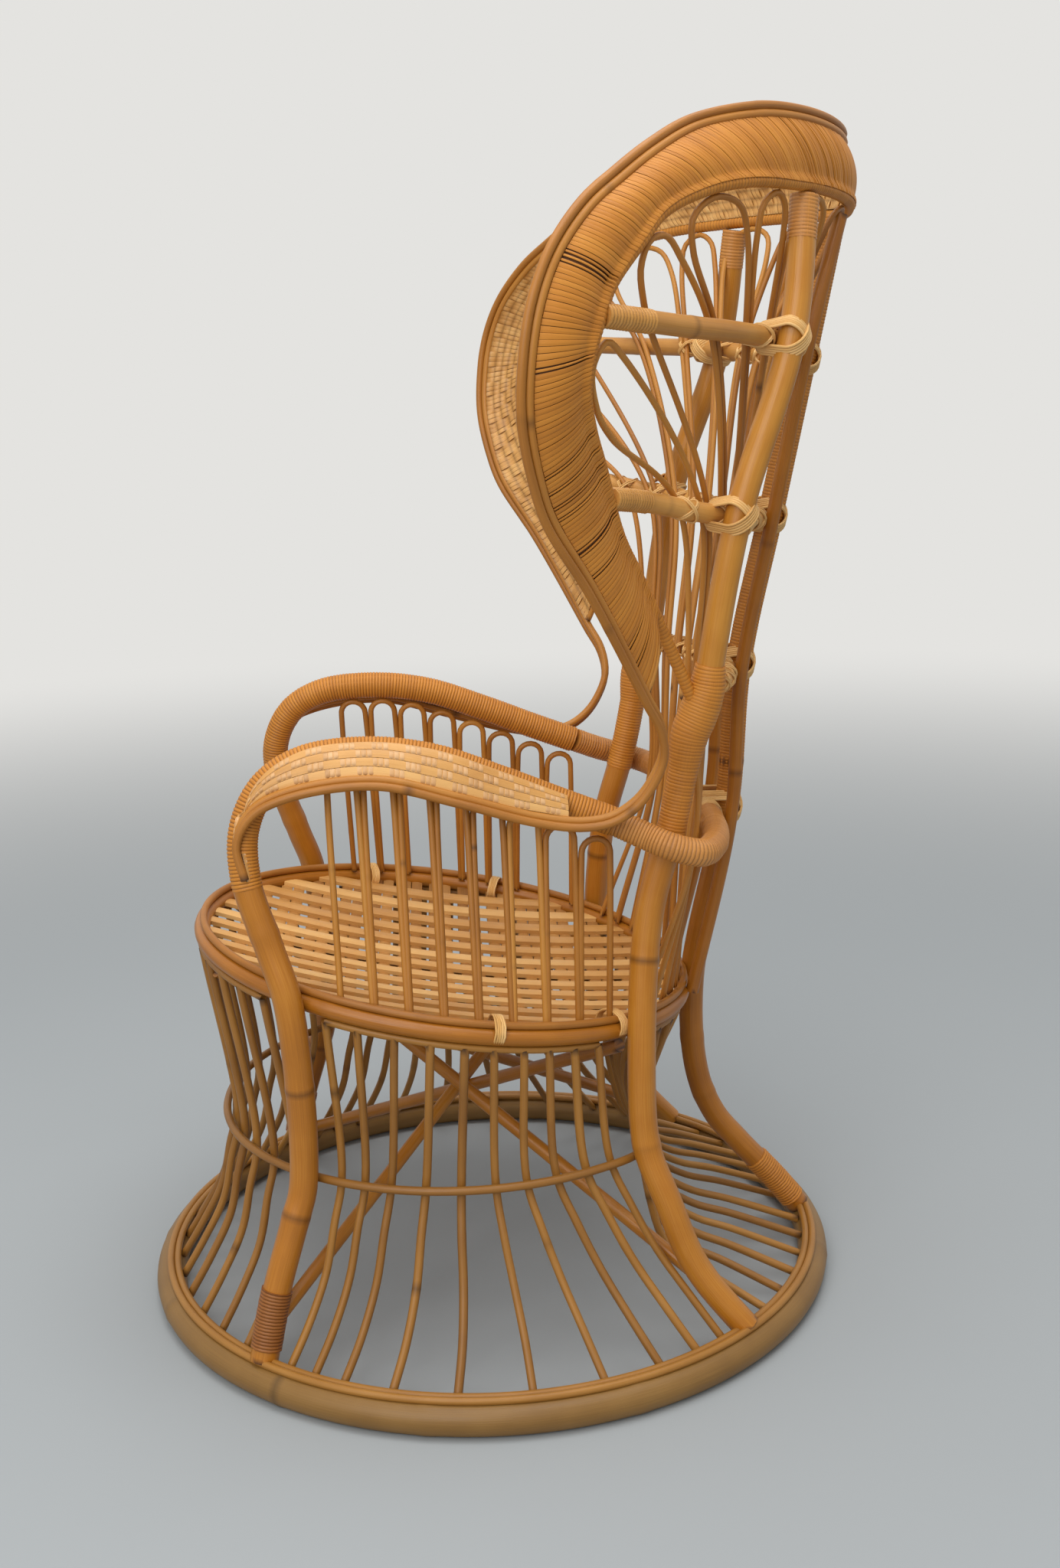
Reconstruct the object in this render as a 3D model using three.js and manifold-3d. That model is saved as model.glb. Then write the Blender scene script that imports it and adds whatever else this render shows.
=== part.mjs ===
// Hooded armchair of bent cane poles on a round floor ring.
import * as THREE from "three";
import { mergeVertices } from "three/addons/utils/BufferGeometryUtils.js";
import Module from "manifold-3d";

const wasm = await Module();
wasm.setup();
const { Manifold, Mesh } = wasm;

// Driving sizes, in millimetres. Left is +X, the back is +Y, up is +Z.
const baseRadius = 400;
const overallHeight = 1283;
const floorPoleRadius = 17;
const floorFlat = 1.5;
const beadRadius = 4.2;
const legRadius = 15;
const centrePostRadius = 14;
const upperPostRadius = 14;
const innerPostRadius = 7.5;
const seatPoleRadius = 9;
const waistCaneRadius = 4.6;
const skirtCaneRadius = 4.8;
const galleryCaneRadius = 3.4;
const fanCaneRadius = 3.1;
const ribRadius = 10;
const railRadius = 15;
const rimCaneRadius = 3.8;
const hoodPoleRadius = 6.5;
const bandThickness = 6;
const armBandThickness = 5;
const armBandBulge = 3;
const slatWidth = 21;
const slatThickness = 5;
const crossCaneWidth = 8;
const crossCaneThickness = 5;
const slatPitch = 38;
const crossCanePitch = 46;
const deckDish = 25;
const braceRadius = 7.5;
const lashRadius = 3;
const fanArch = 42;
const cuffLength = 62;
const cuffWall = 3;
const postSaddle = 7;
const skirtEndRoom = 1.6;
const gap = 0.3;
const notch = 1.2;

// Facet counts.
const ringFacets = 38;
const poleSides = 8;
const thinSides = 4;
const rimSides = 6;
const legSides = 8;
const fineSteps = 2;
const armBandSteps = 16;
const cuffSteps = 4;
const deckStations = 5;
const lashFacets = 10;
const weldDistance = 0.001;

const degree = Math.PI / 180;

// Plain helpers for points and curves.
function vec(x, y, z) {
  return new THREE.Vector3(x, y, z);
}

function spot(share) {
  return vec(share[0] * baseRadius, share[1] * baseRadius, share[2] * overallHeight);
}

function spots(shares) {
  return shares.map(spot);
}

function mirrored(points) {
  return points.map((p) => vec(-p.x, p.y, p.z));
}

// A run of points up to the middle plane, carried on to the other side.
function bothSides(points) {
  const other = mirrored(points.slice(0, -1)).reverse();
  return [...points, ...other];
}

// A smooth curve whose stations follow its control points, so that curves laid
// side by side keep their stations side by side too.
class SteadyCurve extends THREE.CatmullRomCurve3 {
  getPointAt(t, target) {
    return this.getPoint(t, target);
  }

  getTangentAt(t, target) {
    return this.getTangent(t, target);
  }
}

function curveOf(points) {
  return new SteadyCurve(points, false, "centripetal");
}

// Point of a curve where a measure is least: a coarse walk, then ever finer steps about the best.
function leastOn(curve, measure) {
  const samples = 120;
  const rounds = 24;
  let best = 0;
  for (let i = 1; i <= samples; i += 1) {
    if (measure(curve.getPoint(i / samples)) < measure(curve.getPoint(best))) best = i / samples;
  }
  let step = 1 / samples;
  for (let i = 0; i < rounds; i += 1) {
    step /= 2;
    for (const t of [best - step, best + step]) {
      if (t < 0 || t > 1) continue;
      if (measure(curve.getPoint(t)) < measure(curve.getPoint(best))) best = t;
    }
  }
  return curve.getPoint(best);
}

function whereOn(curve, axis, value) {
  return leastOn(curve, (p) => Math.abs(p[axis] - value));
}

function nearestOn(curve, place) {
  return leastOn(curve, (p) => p.distanceTo(place));
}

// Solids from three.js geometry.
function solidOf(geometry) {
  const bare = geometry.index ? geometry.toNonIndexed() : geometry.clone();
  bare.deleteAttribute("normal");
  bare.deleteAttribute("uv");
  const merged = mergeVertices(bare, weldDistance);
  const corners = new Float32Array(merged.attributes.position.array);
  const triangles = new Uint32Array(merged.index.array);
  const made = new Manifold(new Mesh({ numProp: 3, vertProperties: corners, triVerts: triangles }));
  if (made.volume() > 0) return made;
  for (let i = 0; i < triangles.length; i += 3) {
    const kept = triangles[i];
    triangles[i] = triangles[i + 1];
    triangles[i + 1] = kept;
  }
  return new Manifold(new Mesh({ numProp: 3, vertProperties: corners, triVerts: triangles }));
}

function roundShape(radius, sides) {
  const shape = new THREE.Shape();
  for (let i = 0; i < sides; i += 1) {
    const turn = (2 * Math.PI * (i + 0.5)) / sides;
    const x = radius * Math.cos(turn);
    const y = radius * Math.sin(turn);
    if (i === 0) shape.moveTo(x, y);
    else shape.lineTo(x, y);
  }
  shape.closePath();
  return shape;
}

function tube(points, radius, sides, stepsEach = 1) {
  const geometry = new THREE.ExtrudeGeometry(roundShape(radius, sides), {
    steps: (points.length - 1) * stepsEach,
    bevelEnabled: false,
    extrudePath: curveOf(points),
  });
  return solidOf(geometry);
}

function straight(from, to, radius, sides) {
  const geometry = new THREE.ExtrudeGeometry(roundShape(radius, sides), {
    steps: 1,
    bevelEnabled: false,
    extrudePath: new THREE.LineCurve3(from, to),
  });
  return solidOf(geometry);
}

function closedTube(points, radius, sides) {
  const line = new SteadyCurve(points, true, "centripetal");
  return solidOf(new THREE.TubeGeometry(line, points.length, radius, sides, true));
}

// Rings: each lies in its own plane, turned about the X axis.
const floorRing = { radius: baseRadius - floorPoleRadius, y: 0, z: floorPoleRadius - floorFlat, tilt: 0 };
const waistRadiusShare = 0.7;
const waistShiftShare = -0.064;
const waistHeightShare = 0.166;
const waistRing = {
  radius: waistRadiusShare * baseRadius,
  y: waistShiftShare * baseRadius,
  z: waistHeightShare * overallHeight,
  tilt: 0,
};
const seatRadiusShare = 0.698;
const seatShiftShare = -0.109;
const seatHeightShare = 0.3005;
const seatTiltDegrees = -9.9;
const seatRing = {
  radius: seatRadiusShare * baseRadius,
  y: seatShiftShare * baseRadius,
  z: seatHeightShare * overallHeight,
  tilt: seatTiltDegrees * degree,
};

// Point on a ring at an angle from the left side towards the back.
function onRing(ring, angle, out, rise) {
  const reach = ring.radius + out;
  const p = vec(reach * Math.cos(angle), reach * Math.sin(angle), rise);
  p.applyAxisAngle(vec(1, 0, 0), ring.tilt);
  return p.add(vec(0, ring.y, ring.z));
}

// How far a faceted ring falls inside its true circle between two facets.
function ringSag(ring) {
  return ring.radius * (1 - Math.cos(Math.PI / ringFacets));
}

function ringSolid(ring, profile, facets) {
  const closed = [...profile, profile[0]];
  const points = closed.map((q) => new THREE.Vector2(ring.radius + q[0], q[1]));
  const geometry = new THREE.LatheGeometry(points, facets);
  geometry.rotateX(Math.PI / 2);
  geometry.rotateX(ring.tilt);
  geometry.translate(0, ring.y, ring.z);
  return solidOf(geometry);
}

function circleProfile(radius, sides, out, rise) {
  const profile = [];
  for (let i = 0; i < sides; i += 1) {
    const turn = (2 * Math.PI * (i + 0.5)) / sides;
    profile.push([out + radius * Math.cos(turn), rise + radius * Math.sin(turn)]);
  }
  return profile;
}

// A woven sheet between two edge lines, as a box whose corners are moved into place.
function sheet(edgeA, edgeB, thickness, bulge, along, across, sideHint) {
  const geometry = new THREE.BoxGeometry(1, 1, 1, along, across, 1);
  const place = geometry.attributes.position;
  for (let i = 0; i < place.count; i += 1) {
    const u = place.getX(i) + 0.5;
    const v = place.getY(i) + 0.5;
    const w = place.getZ(i);
    const a = edgeA.getPoint(u);
    const b = edgeB.getPoint(u);
    const step = 0.01;
    const ahead = edgeA.getPoint(Math.min(1, u + step));
    const back = edgeA.getPoint(Math.max(0, u - step));
    const tangent = ahead.sub(back).normalize();
    const width = b.clone().sub(a);
    const normal = tangent.cross(width).normalize();
    if (normal.dot(sideHint(a, b)) < 0) normal.negate();
    const p = a.clone().lerp(b, v);
    const crown = 4 * v * (1 - v) * bulge;
    p.addScaledVector(normal, crown + w * thickness);
    place.setXYZ(i, p.x, p.y, p.z);
  }
  return solidOf(geometry);
}

// Parts are placed in order and each one is cut clear of the ones before it.
const parts = [];

function boxesMeet(a, b) {
  const p = a.boundingBox();
  const q = b.boundingBox();
  for (let i = 0; i < 3; i += 1) {
    if (p.min[i] > q.max[i] || q.min[i] > p.max[i]) return false;
  }
  return true;
}

function largest(body) {
  const pieces = body.decompose();
  let best = pieces[0];
  for (const piece of pieces) if (piece.volume() > best.volume()) best = piece;
  return best;
}

function add(name, finish, build) {
  let body = build(0);
  for (const earlier of parts) {
    if (boxesMeet(earlier.grown, body)) body = body.subtract(earlier.grown);
  }
  const kept = largest(body);
  parts.push({ name, finish, body: kept, grown: build(gap), lost: body.volume() - kept.volume() });
}

function addPair(name, finish, build) {
  add(`${name}_left`, finish, build);
  add(`${name}_right`, finish, (grow) => build(grow).mirror([1, 0, 0]));
}

function fuse(list) {
  return Manifold.union(list);
}

// Finishes: colour, roughness.
const poleFinish = { color: 0xb9792f, roughness: 0.42 };
const darkPoleFinish = { color: 0xa5672a, roughness: 0.45 };
const caneFinish = { color: 0xc08a4a, roughness: 0.5 };
const weaveFinish = { color: 0xc4914f, roughness: 0.6 };
const lashFinish = { color: 0xcf9f62, roughness: 0.55 };

// Floor ring: a thick pole with a flat underside and two beads along its top.
function floorProfile(grow) {
  const radius = floorPoleRadius + grow;
  const low = -(floorPoleRadius - floorFlat) - grow;
  return circleProfile(radius, poleSides, 0, 0).map((q) => [q[0], Math.max(q[1], low)]);
}
add("floor_ring", poleFinish, (grow) => ringSolid(floorRing, floorProfile(grow), ringFacets));

// Height of a pole's faceted top at a distance from its middle line.
function topAt(radius, sides, offset) {
  let height = 0;
  for (let i = 0; i < sides; i += 1) {
    const a = circleProfile(radius, sides, 0, 0)[i];
    const b = circleProfile(radius, sides, 0, 0)[(i + 1) % sides];
    const low = Math.min(a[0], b[0]);
    const high = Math.max(a[0], b[0]);
    if (offset < low || offset > high || high - low < weldDistance) continue;
    const part = (offset - a[0]) / (b[0] - a[0]);
    height = Math.max(height, a[1] + (b[1] - a[1]) * part);
  }
  return height;
}

// The outer bead stands on the pole's crown, the inner one beside it a little lower.
const beadRise = topAt(floorPoleRadius, poleSides, 0) + beadRadius + gap;
const beadFlat = beadRadius * Math.cos(Math.PI / rimSides);
const beadInOffset = -(2 * beadFlat + gap);
const beadInRise = topAt(floorPoleRadius, poleSides, beadInOffset + beadFlat) + beadFlat + 2 * gap;
add("floor_bead_outer", caneFinish, (grow) =>
  ringSolid(floorRing, circleProfile(beadRadius + grow, rimSides, 0, beadRise), ringFacets));
add("floor_bead_inner", caneFinish, (grow) =>
  ringSolid(floorRing, circleProfile(beadRadius + grow, rimSides, beadInOffset, beadInRise), ringFacets));

// Seat ring with its top bead.
add("seat_ring", poleFinish, (grow) =>
  ringSolid(seatRing, circleProfile(seatPoleRadius + grow, poleSides, 0, 0), ringFacets));
const seatBeadRise = topAt(seatPoleRadius, poleSides, 0) + beadRadius + gap;
add("seat_bead", caneFinish, (grow) =>
  ringSolid(seatRing, circleProfile(beadRadius + grow, rimSides, 0, seatBeadRise), ringFacets));

// Waist hoop: round at the front and sides, nearly straight across behind the seat.
const rearWaistAngle = 38.2 * degree;
const waistSteps = 24;
const waistBackShares = [[0.475, 0.4125, waistHeightShare], [0.3, 0.44, waistHeightShare], [0, 0.45, waistHeightShare]];
const waistBackLine = curveOf(bothSides([onRing(waistRing, rearWaistAngle, 0, 0), ...spots(waistBackShares)]));
function waistPoints() {
  const points = [];
  const sweep = Math.PI + 2 * rearWaistAngle;
  for (let i = 0; i <= waistSteps; i += 1) {
    points.push(onRing(waistRing, rearWaistAngle - (sweep * i) / waistSteps, 0, 0));
  }
  return [...points, ...bothSides(spots(waistBackShares)).reverse()];
}
add("waist_ring", caneFinish, (grow) => closedTube(waistPoints(), waistCaneRadius + grow, rimSides));

// Front legs: up from the floor ring, past waist and seat, over as the arms and back to the rear legs.
const frontFootAngle = -42.5 * degree;
const frontWaistAngle = -36.5 * degree;
const frontSeatAngle = -33 * degree;
const footInset = 0.5 * legRadius;
const footRise = floorPoleRadius;
const frontFlareShares = [[0.655, -0.595, 0.078], [0.62, -0.537, 0.136]];
const armShares = [
  [0.612, -0.556, 0.368],
  [0.588, -0.606, 0.423],
  [0.56, -0.605, 0.463],
  [0.536, -0.55, 0.495],
  [0.52, -0.45, 0.513],
  [0.513, -0.287, 0.5175],
  [0.519, -0.125, 0.51],
  [0.526, 0.04, 0.491],
  [0.533, 0.2, 0.47],
  [0.541, 0.33, 0.4535],
];
const frontLegPoints = [
  onRing(floorRing, frontFootAngle, -footInset, footRise),
  ...spots(frontFlareShares),
  onRing(waistRing, frontWaistAngle, waistCaneRadius + legRadius + gap, 0),
  onRing(seatRing, frontSeatAngle, seatPoleRadius + legRadius + gap, 0),
  ...spots(armShares),
];

// Rear legs: up to the foot of the hood.
const rearFootAngle = 43.5 * degree;
const rearSeatAngle = 42 * degree;
const rearFlareShares = [[0.64, 0.512, 0.078], [0.612, 0.43, 0.15]];
const rearUpShares = [[0.515, 0.425, 0.38], [0.505, 0.475, 0.43], [0.506, 0.52, 0.494], [0.512, 0.543, 0.536]];
const rearLegPoints = [
  onRing(floorRing, rearFootAngle, -footInset, footRise),
  ...spots(rearFlareShares),
  onRing(waistRing, rearWaistAngle, waistCaneRadius + legRadius + gap, 0),
  onRing(seatRing, rearSeatAngle, seatPoleRadius + legRadius + gap, 0),
  ...spots(rearUpShares),
];
addPair("rear_leg", poleFinish, (grow) => tube(rearLegPoints, legRadius + grow, legSides, fineSteps));
addPair("front_leg", poleFinish, (grow) => tube(frontLegPoints, legRadius + grow, legSides, fineSteps));

// Rails and ribs: bowed poles round the inside of the back at four heights.
const railShares = [
  [0.5417, 0.3365, 0.4528],
  [0.568, 0.41, 0.4425],
  [0.594, 0.475, 0.4345],
  [0.578, 0.548, 0.4275],
  [0.475, 0.6, 0.4245],
  [0.3, 0.636, 0.4225],
  [0.15, 0.648, 0.422],
  [0, 0.65, 0.4215],
];
const lowRibShares = [[0.5, 0.53, 0.552], [0.42, 0.6, 0.552], [0.3, 0.66, 0.552], [0.15, 0.692, 0.552], [0, 0.7, 0.552]];
const midRibShares = [
  [0.68, 0.35, 0.71],
  [0.62, 0.43, 0.705],
  [0.56, 0.53, 0.698],
  [0.495, 0.617, 0.692],
  [0.35, 0.717, 0.685],
  [0.17, 0.775, 0.681],
  [0, 0.79, 0.68],
];
const topRibShares = [
  [0.925, 0.3, 0.839],
  [0.835, 0.405, 0.835],
  [0.75, 0.5, 0.832],
  [0.64, 0.62, 0.829],
  [0.47, 0.745, 0.825],
  [0.3, 0.83, 0.819],
  [0.15, 0.871, 0.815],
  [0, 0.882, 0.813],
];
const railLine = curveOf(bothSides(spots(railShares)));
const lowRibLine = curveOf(bothSides(spots(lowRibShares)));
const midRibLine = curveOf(bothSides(spots(midRibShares)));
const topRibLine = curveOf(bothSides(spots(topRibShares)));

// Point beside a bowed pole, level with it, on the outer side when the reach is positive.
function beside(line, x, reach) {
  const p = whereOn(line, "x", x);
  const near = 0.02 * baseRadius;
  const q = whereOn(line, "x", x - near);
  const along = q.sub(p).setZ(0).normalize();
  const outward = vec(along.y, -along.x, 0);
  if (outward.y < 0) outward.negate();
  return p.addScaledVector(outward, reach);
}

// Centre post: up the middle of the back to the top of the hood.
const rearAngle = 90 * degree;
const centreFlareShares = [[0, 0.865, 0.055], [0, 0.75, 0.0965], [0, 0.68, 0.125], [0, 0.6285, 0.1685]];
const centreHeadShare = [0, 1.02, 0.926];
const postReach = ribRadius + centrePostRadius + gap;
const centrePostPoints = [
  onRing(floorRing, rearAngle, -footInset, footRise),
  ...spots(centreFlareShares),
  onRing(seatRing, rearAngle, seatPoleRadius + centrePostRadius - postSaddle, 0),
  beside(railLine, 0, railRadius + centrePostRadius + gap),
  beside(lowRibLine, 0, postReach),
  beside(midRibLine, 0, postReach),
  beside(topRibLine, 0, postReach),
  spot(centreHeadShare),
];

// Upper posts: from behind the tops of the rear legs to the hood, with a thinner pair between.
const upperFootShare = [0.512, 0.565, 0.534];
const upperHeadShare = [0.452, 0.838, 0.929];
const upperReach = ribRadius + upperPostRadius + gap;
const upperMidShare = 0.5;
const upperTopShare = 0.47;
const upperPostPoints = [
  spot(upperFootShare),
  beside(midRibLine, upperMidShare * baseRadius, upperReach),
  beside(topRibLine, upperTopShare * baseRadius, upperReach),
  spot(upperHeadShare),
];
const innerReach = ribRadius + innerPostRadius + gap;
const innerPostShares = { low: 0.16, mid: 0.21, top: 0.25 };
const innerFootAngle = 76 * degree;
const innerHeadShare = [0.24, 0.98, 0.921];
const innerPostPoints = [
  onRing(seatRing, innerFootAngle, beadRadius + innerPostRadius + gap, 0.4 * seatPoleRadius),
  beside(railLine, innerPostShares.low * baseRadius, railRadius + innerPostRadius + gap),
  beside(lowRibLine, innerPostShares.low * baseRadius, innerReach),
  beside(midRibLine, innerPostShares.mid * baseRadius, innerReach),
  beside(topRibLine, innerPostShares.top * baseRadius, innerReach),
  spot(innerHeadShare),
];

// Hood: rim line and inner edge line from the side loop over the top.
const armRimShares = [
  [0.632, -0.605, 0.425],
  [0.622, -0.622, 0.452],
  [0.622, -0.58, 0.4745],
  [0.628, -0.48, 0.489],
  [0.632, -0.268, 0.495],
  [0.63, -0.065, 0.478],
  [0.63, 0.125, 0.46],
  [0.633, 0.243, 0.4545],
  [0.636, 0.32, 0.458],
  [0.64, 0.38, 0.47],
  [0.645, 0.423, 0.488],
];
const hoodRimShares = [
  [0.655, 0.448, 0.5095],
  [0.675, 0.436, 0.5321],
  [0.71, 0.399, 0.5535],
  [0.79, 0.314, 0.6051],
  [0.862, 0.24, 0.648],
  [0.945, 0.142, 0.6974],
  [0.987, 0.111, 0.7257],
  [1.027, 0.086, 0.7661],
  [1.045, 0.087, 0.8009],
  [1.045, 0.109, 0.8447],
  [1.013, 0.155, 0.8812],
  [0.94, 0.232, 0.9139],
  [0.872, 0.31, 0.9348],
  [0.788, 0.405, 0.9569],
  [0.685, 0.518, 0.9772],
  [0.56, 0.692, 0.9913],
  [0.412, 0.84, 0.9945],
  [0.22, 0.97, 0.993],
  [0, 1.035, 0.9905],
];
const hoodInnerShares = [
  [0.53, 0.54, 0.548],
  [0.555, 0.49, 0.584],
  [0.6, 0.43, 0.6243],
  [0.65, 0.383, 0.6547],
  [0.72, 0.335, 0.6844],
  [0.82, 0.285, 0.735],
  [0.895, 0.253, 0.7654],
  [0.945, 0.24, 0.7904],
  [0.96, 0.25, 0.814],
  [0.955, 0.268, 0.832],
  [0.925, 0.3, 0.8574],
  [0.875, 0.375, 0.8878],
  [0.825, 0.435, 0.9088],
  [0.735, 0.55, 0.926],
  [0.64, 0.67, 0.934],
  [0.5, 0.81, 0.936],
  [0.35, 0.93, 0.935],
  [0.18, 1.015, 0.932],
  [0, 1.045, 0.928],
];
const hoodRimLine = curveOf(bothSides(spots(hoodRimShares)));
const hoodInnerLine = curveOf(bothSides(spots(hoodInnerShares)));
const centrePostLine = curveOf(centrePostPoints);
add("hood_pole", poleFinish, (grow) =>
  tube(bothSides(spots(hoodInnerShares)), hoodPoleRadius + grow, rimSides, fineSteps));
add("centre_post", poleFinish, (grow) => tube(centrePostPoints, centrePostRadius + grow, legSides, fineSteps));
addPair("inner_post", poleFinish, (grow) => tube(innerPostPoints, innerPostRadius + grow, rimSides, fineSteps));

// Rim canes: two side by side from one arm over the hood to the other arm.
function rimOffsetPoints(distance) {
  const arm = spots(armRimShares);
  const hood = spots(hoodRimShares);
  const inner = spots(hoodInnerShares);
  const armInward = vec(-1, 0, 0.75).normalize();
  const moved = arm.map((p) => p.clone().addScaledVector(armInward, distance));
  hood.forEach((p, i) => {
    const inward = inner[i].clone().sub(p).normalize();
    const blend = Math.min(1, i / 3);
    inward.lerp(armInward, 1 - blend).normalize();
    moved.push(p.clone().addScaledVector(inward, distance));
  });
  return bothSides(moved);
}
const outerRimDistance = rimCaneRadius;
const innerRimDistance = 3 * rimCaneRadius + 4 * gap;
add("rim_cane_outer", caneFinish, (grow) =>
  tube(rimOffsetPoints(outerRimDistance), rimCaneRadius + grow, thinSides, fineSteps));
add("rim_cane_inner", caneFinish, (grow) =>
  tube(rimOffsetPoints(innerRimDistance), rimCaneRadius + grow, thinSides, fineSteps));

// Edge of the band beside the hood pole.
function hoodEdgePoints(distance) {
  const hood = spots(hoodRimShares);
  const inner = spots(hoodInnerShares);
  return bothSides(inner.map((p, i) => {
    const outward = hood[i].clone().sub(p).normalize();
    return p.clone().addScaledVector(outward, distance);
  }));
}

// Hood band: the woven strip between the rim canes and the hood pole.
const bandSideHint = (a, b) => vec(a.x, 0.4 * baseRadius + a.y * 0, 0.2 * baseRadius);
const bandBulgeShare = 0.02;
const bandRim = rimOffsetPoints(innerRimDistance + rimCaneRadius + 4 * gap);
const bandRimPoints = bandRim.slice(armRimShares.length + 2, -armRimShares.length - 2);
const bandInner = hoodEdgePoints(hoodPoleRadius + 6 * gap);
const bandInnerPoints = bandInner.slice(2, -2);
add("hood_band", weaveFinish, (grow) =>
  sheet(curveOf(bandRimPoints), curveOf(bandInnerPoints), bandThickness + 2 * grow,
    bandBulgeShare * baseRadius, (bandRimPoints.length - 1) * fineSteps, 2, bandSideHint));

add("arm_rail", poleFinish, (grow) => tube(bothSides(spots(railShares)), railRadius + grow, legSides));
add("low_rib", poleFinish, (grow) => tube(bothSides(spots(lowRibShares)), ribRadius + grow, legSides, fineSteps));
add("mid_rib", poleFinish, (grow) => tube(bothSides(spots(midRibShares)), ribRadius + grow, legSides));
add("top_rib", poleFinish, (grow) => tube(bothSides(spots(topRibShares)), ribRadius + grow, legSides));

// Arm bands: woven strips from the top of the arm pole down to the rim canes.
const armPolePoints = spots(armShares);
const armInnerEdge = armPolePoints.slice(2, -1).map((p, i) => {
  const along = armPolePoints[i + 3].clone().sub(armPolePoints[i + 1]).normalize();
  const lift = vec(1, 0, 1);
  lift.addScaledVector(along, -lift.dot(along)).normalize();
  return p.clone().addScaledVector(lift, legRadius + armBandThickness / 2 + 2 * gap);
});
const armRimLine = curveOf(rimOffsetPoints(innerRimDistance + rimCaneRadius + 8 * gap).slice(0, armRimShares.length));
const armOuterEdge = armInnerEdge.map((p) => whereOn(armRimLine, "y", p.y));
const armSideHint = () => vec(0.5, 0, 1);
addPair("arm_band", weaveFinish, (grow) =>
  sheet(curveOf(armOuterEdge), curveOf(armInnerEdge), armBandThickness + 2 * grow,
    armBandBulge, armBandSteps, 2, armSideHint));

// Seat deck: flat canes front to back, laid over cross canes, hollowed like a shallow dish.
const deckReach = seatRing.radius - seatPoleRadius;
function deckBar(centre, size, stations) {
  const alongX = size.x > size.y;
  const geometry = new THREE.BoxGeometry(size.x, size.y, size.z, alongX ? stations : 1, alongX ? 1 : stations);
  geometry.translate(centre.x, centre.y, centre.z);
  const place = geometry.attributes.position;
  for (let i = 0; i < place.count; i += 1) {
    const reach = Math.min(1, Math.hypot(place.getX(i), place.getY(i)) / deckReach);
    place.setZ(i, place.getZ(i) - deckDish * (1 - reach * reach));
  }
  geometry.rotateX(seatRing.tilt);
  geometry.translate(0, seatRing.y, seatRing.z);
  return solidOf(geometry);
}
const slatCount = Math.floor((deckReach * 2) / slatPitch) - 1;
const crossCount = Math.floor((deckReach * 2) / crossCanePitch);
const slatRise = seatPoleRadius - 1.5 * slatThickness;
const crossRise = slatRise - (slatThickness + crossCaneThickness) / 2;
const battenRise = crossRise - crossCaneThickness + notch;
const slatStop = 0.5 * seatPoleRadius;
function chord(offset) {
  return 2 * Math.sqrt(seatRing.radius ** 2 - offset ** 2);
}
function slats(grow) {
  const bars = [];
  for (let i = 0; i < slatCount; i += 1) {
    const x = (i - (slatCount - 1) / 2) * slatPitch;
    bars.push(deckBar(vec(x, 0, slatRise),
      vec(slatWidth + 2 * grow, chord(x) - 2 * slatStop, slatThickness + 2 * grow), deckStations));
  }
  bars.push(deckBar(vec(0, 0, crossRise + notch),
    vec(slatPitch * (slatCount - 1), crossCaneWidth + 2 * grow, crossCaneThickness + 2 * grow), deckStations));
  return fuse(bars);
}
function crossCanes(grow) {
  const bars = [];
  for (let i = 0; i < crossCount; i += 1) {
    const place = i - (crossCount - 1) / 2;
    if (place === 0) continue;
    const y = place * crossCanePitch;
    bars.push(deckBar(vec(0, y, crossRise - 4 * gap),
      vec(chord(y) - 2 * slatStop, crossCaneWidth + 2 * grow, crossCaneThickness + 2 * grow), deckStations));
  }
  bars.push(deckBar(vec(0, 0, battenRise - 4 * gap),
    vec(crossCaneWidth + 2 * grow, crossCanePitch * (crossCount - 1), crossCaneThickness + 2 * grow), deckStations));
  return fuse(bars);
}
add("seat_slats", weaveFinish, slats);
add("seat_cross_canes", weaveFinish, crossCanes);

// Skirt: flared canes from the seat ring past the waist hoop to the floor ring.
const skirtShares = [
  [0.715, -0.05, 0.128],
  [0.765, -0.03, 0.09],
  [0.845, -0.012, 0.054],
];
const headerSide = 4;
const headerFlat = headerSide * Math.cos(Math.PI / thinSides);
const seatFlat = topAt(seatPoleRadius, poleSides, 0);
const headerRise = -(seatFlat + headerFlat + 4 * gap);
const floorFacet = topAt(floorPoleRadius, poleSides, 0);
const skirtEndOut = -0.8 * floorPoleRadius;
const skirtEndRise = (floorFacet + skirtEndRoom + gap) * Math.SQRT2 + skirtEndOut;
const waistInside = -(waistCaneRadius + skirtCaneRadius + gap + ringSag(waistRing));
// Each cane has its own angles at the seat, the waist and the floor.
function skirtCane(seatAngle, waistAngle, floorAngle, grow) {
  const points = [onRing(seatRing, seatAngle, 0, headerRise), onRing(waistRing, waistAngle, waistInside, 0)];
  skirtShares.forEach((share, i) => {
    const part = (i + 1) / (skirtShares.length + 1);
    const angle = waistAngle + (floorAngle - waistAngle) * part;
    points.push(vec(
      share[0] * baseRadius * Math.cos(angle),
      share[0] * baseRadius * Math.sin(angle) + share[1] * baseRadius,
      share[2] * overallHeight,
    ));
  });
  points.push(onRing(floorRing, floorAngle, skirtEndOut, skirtEndRise));
  return tube(points, skirtCaneRadius + grow, thinSides);
}
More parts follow.
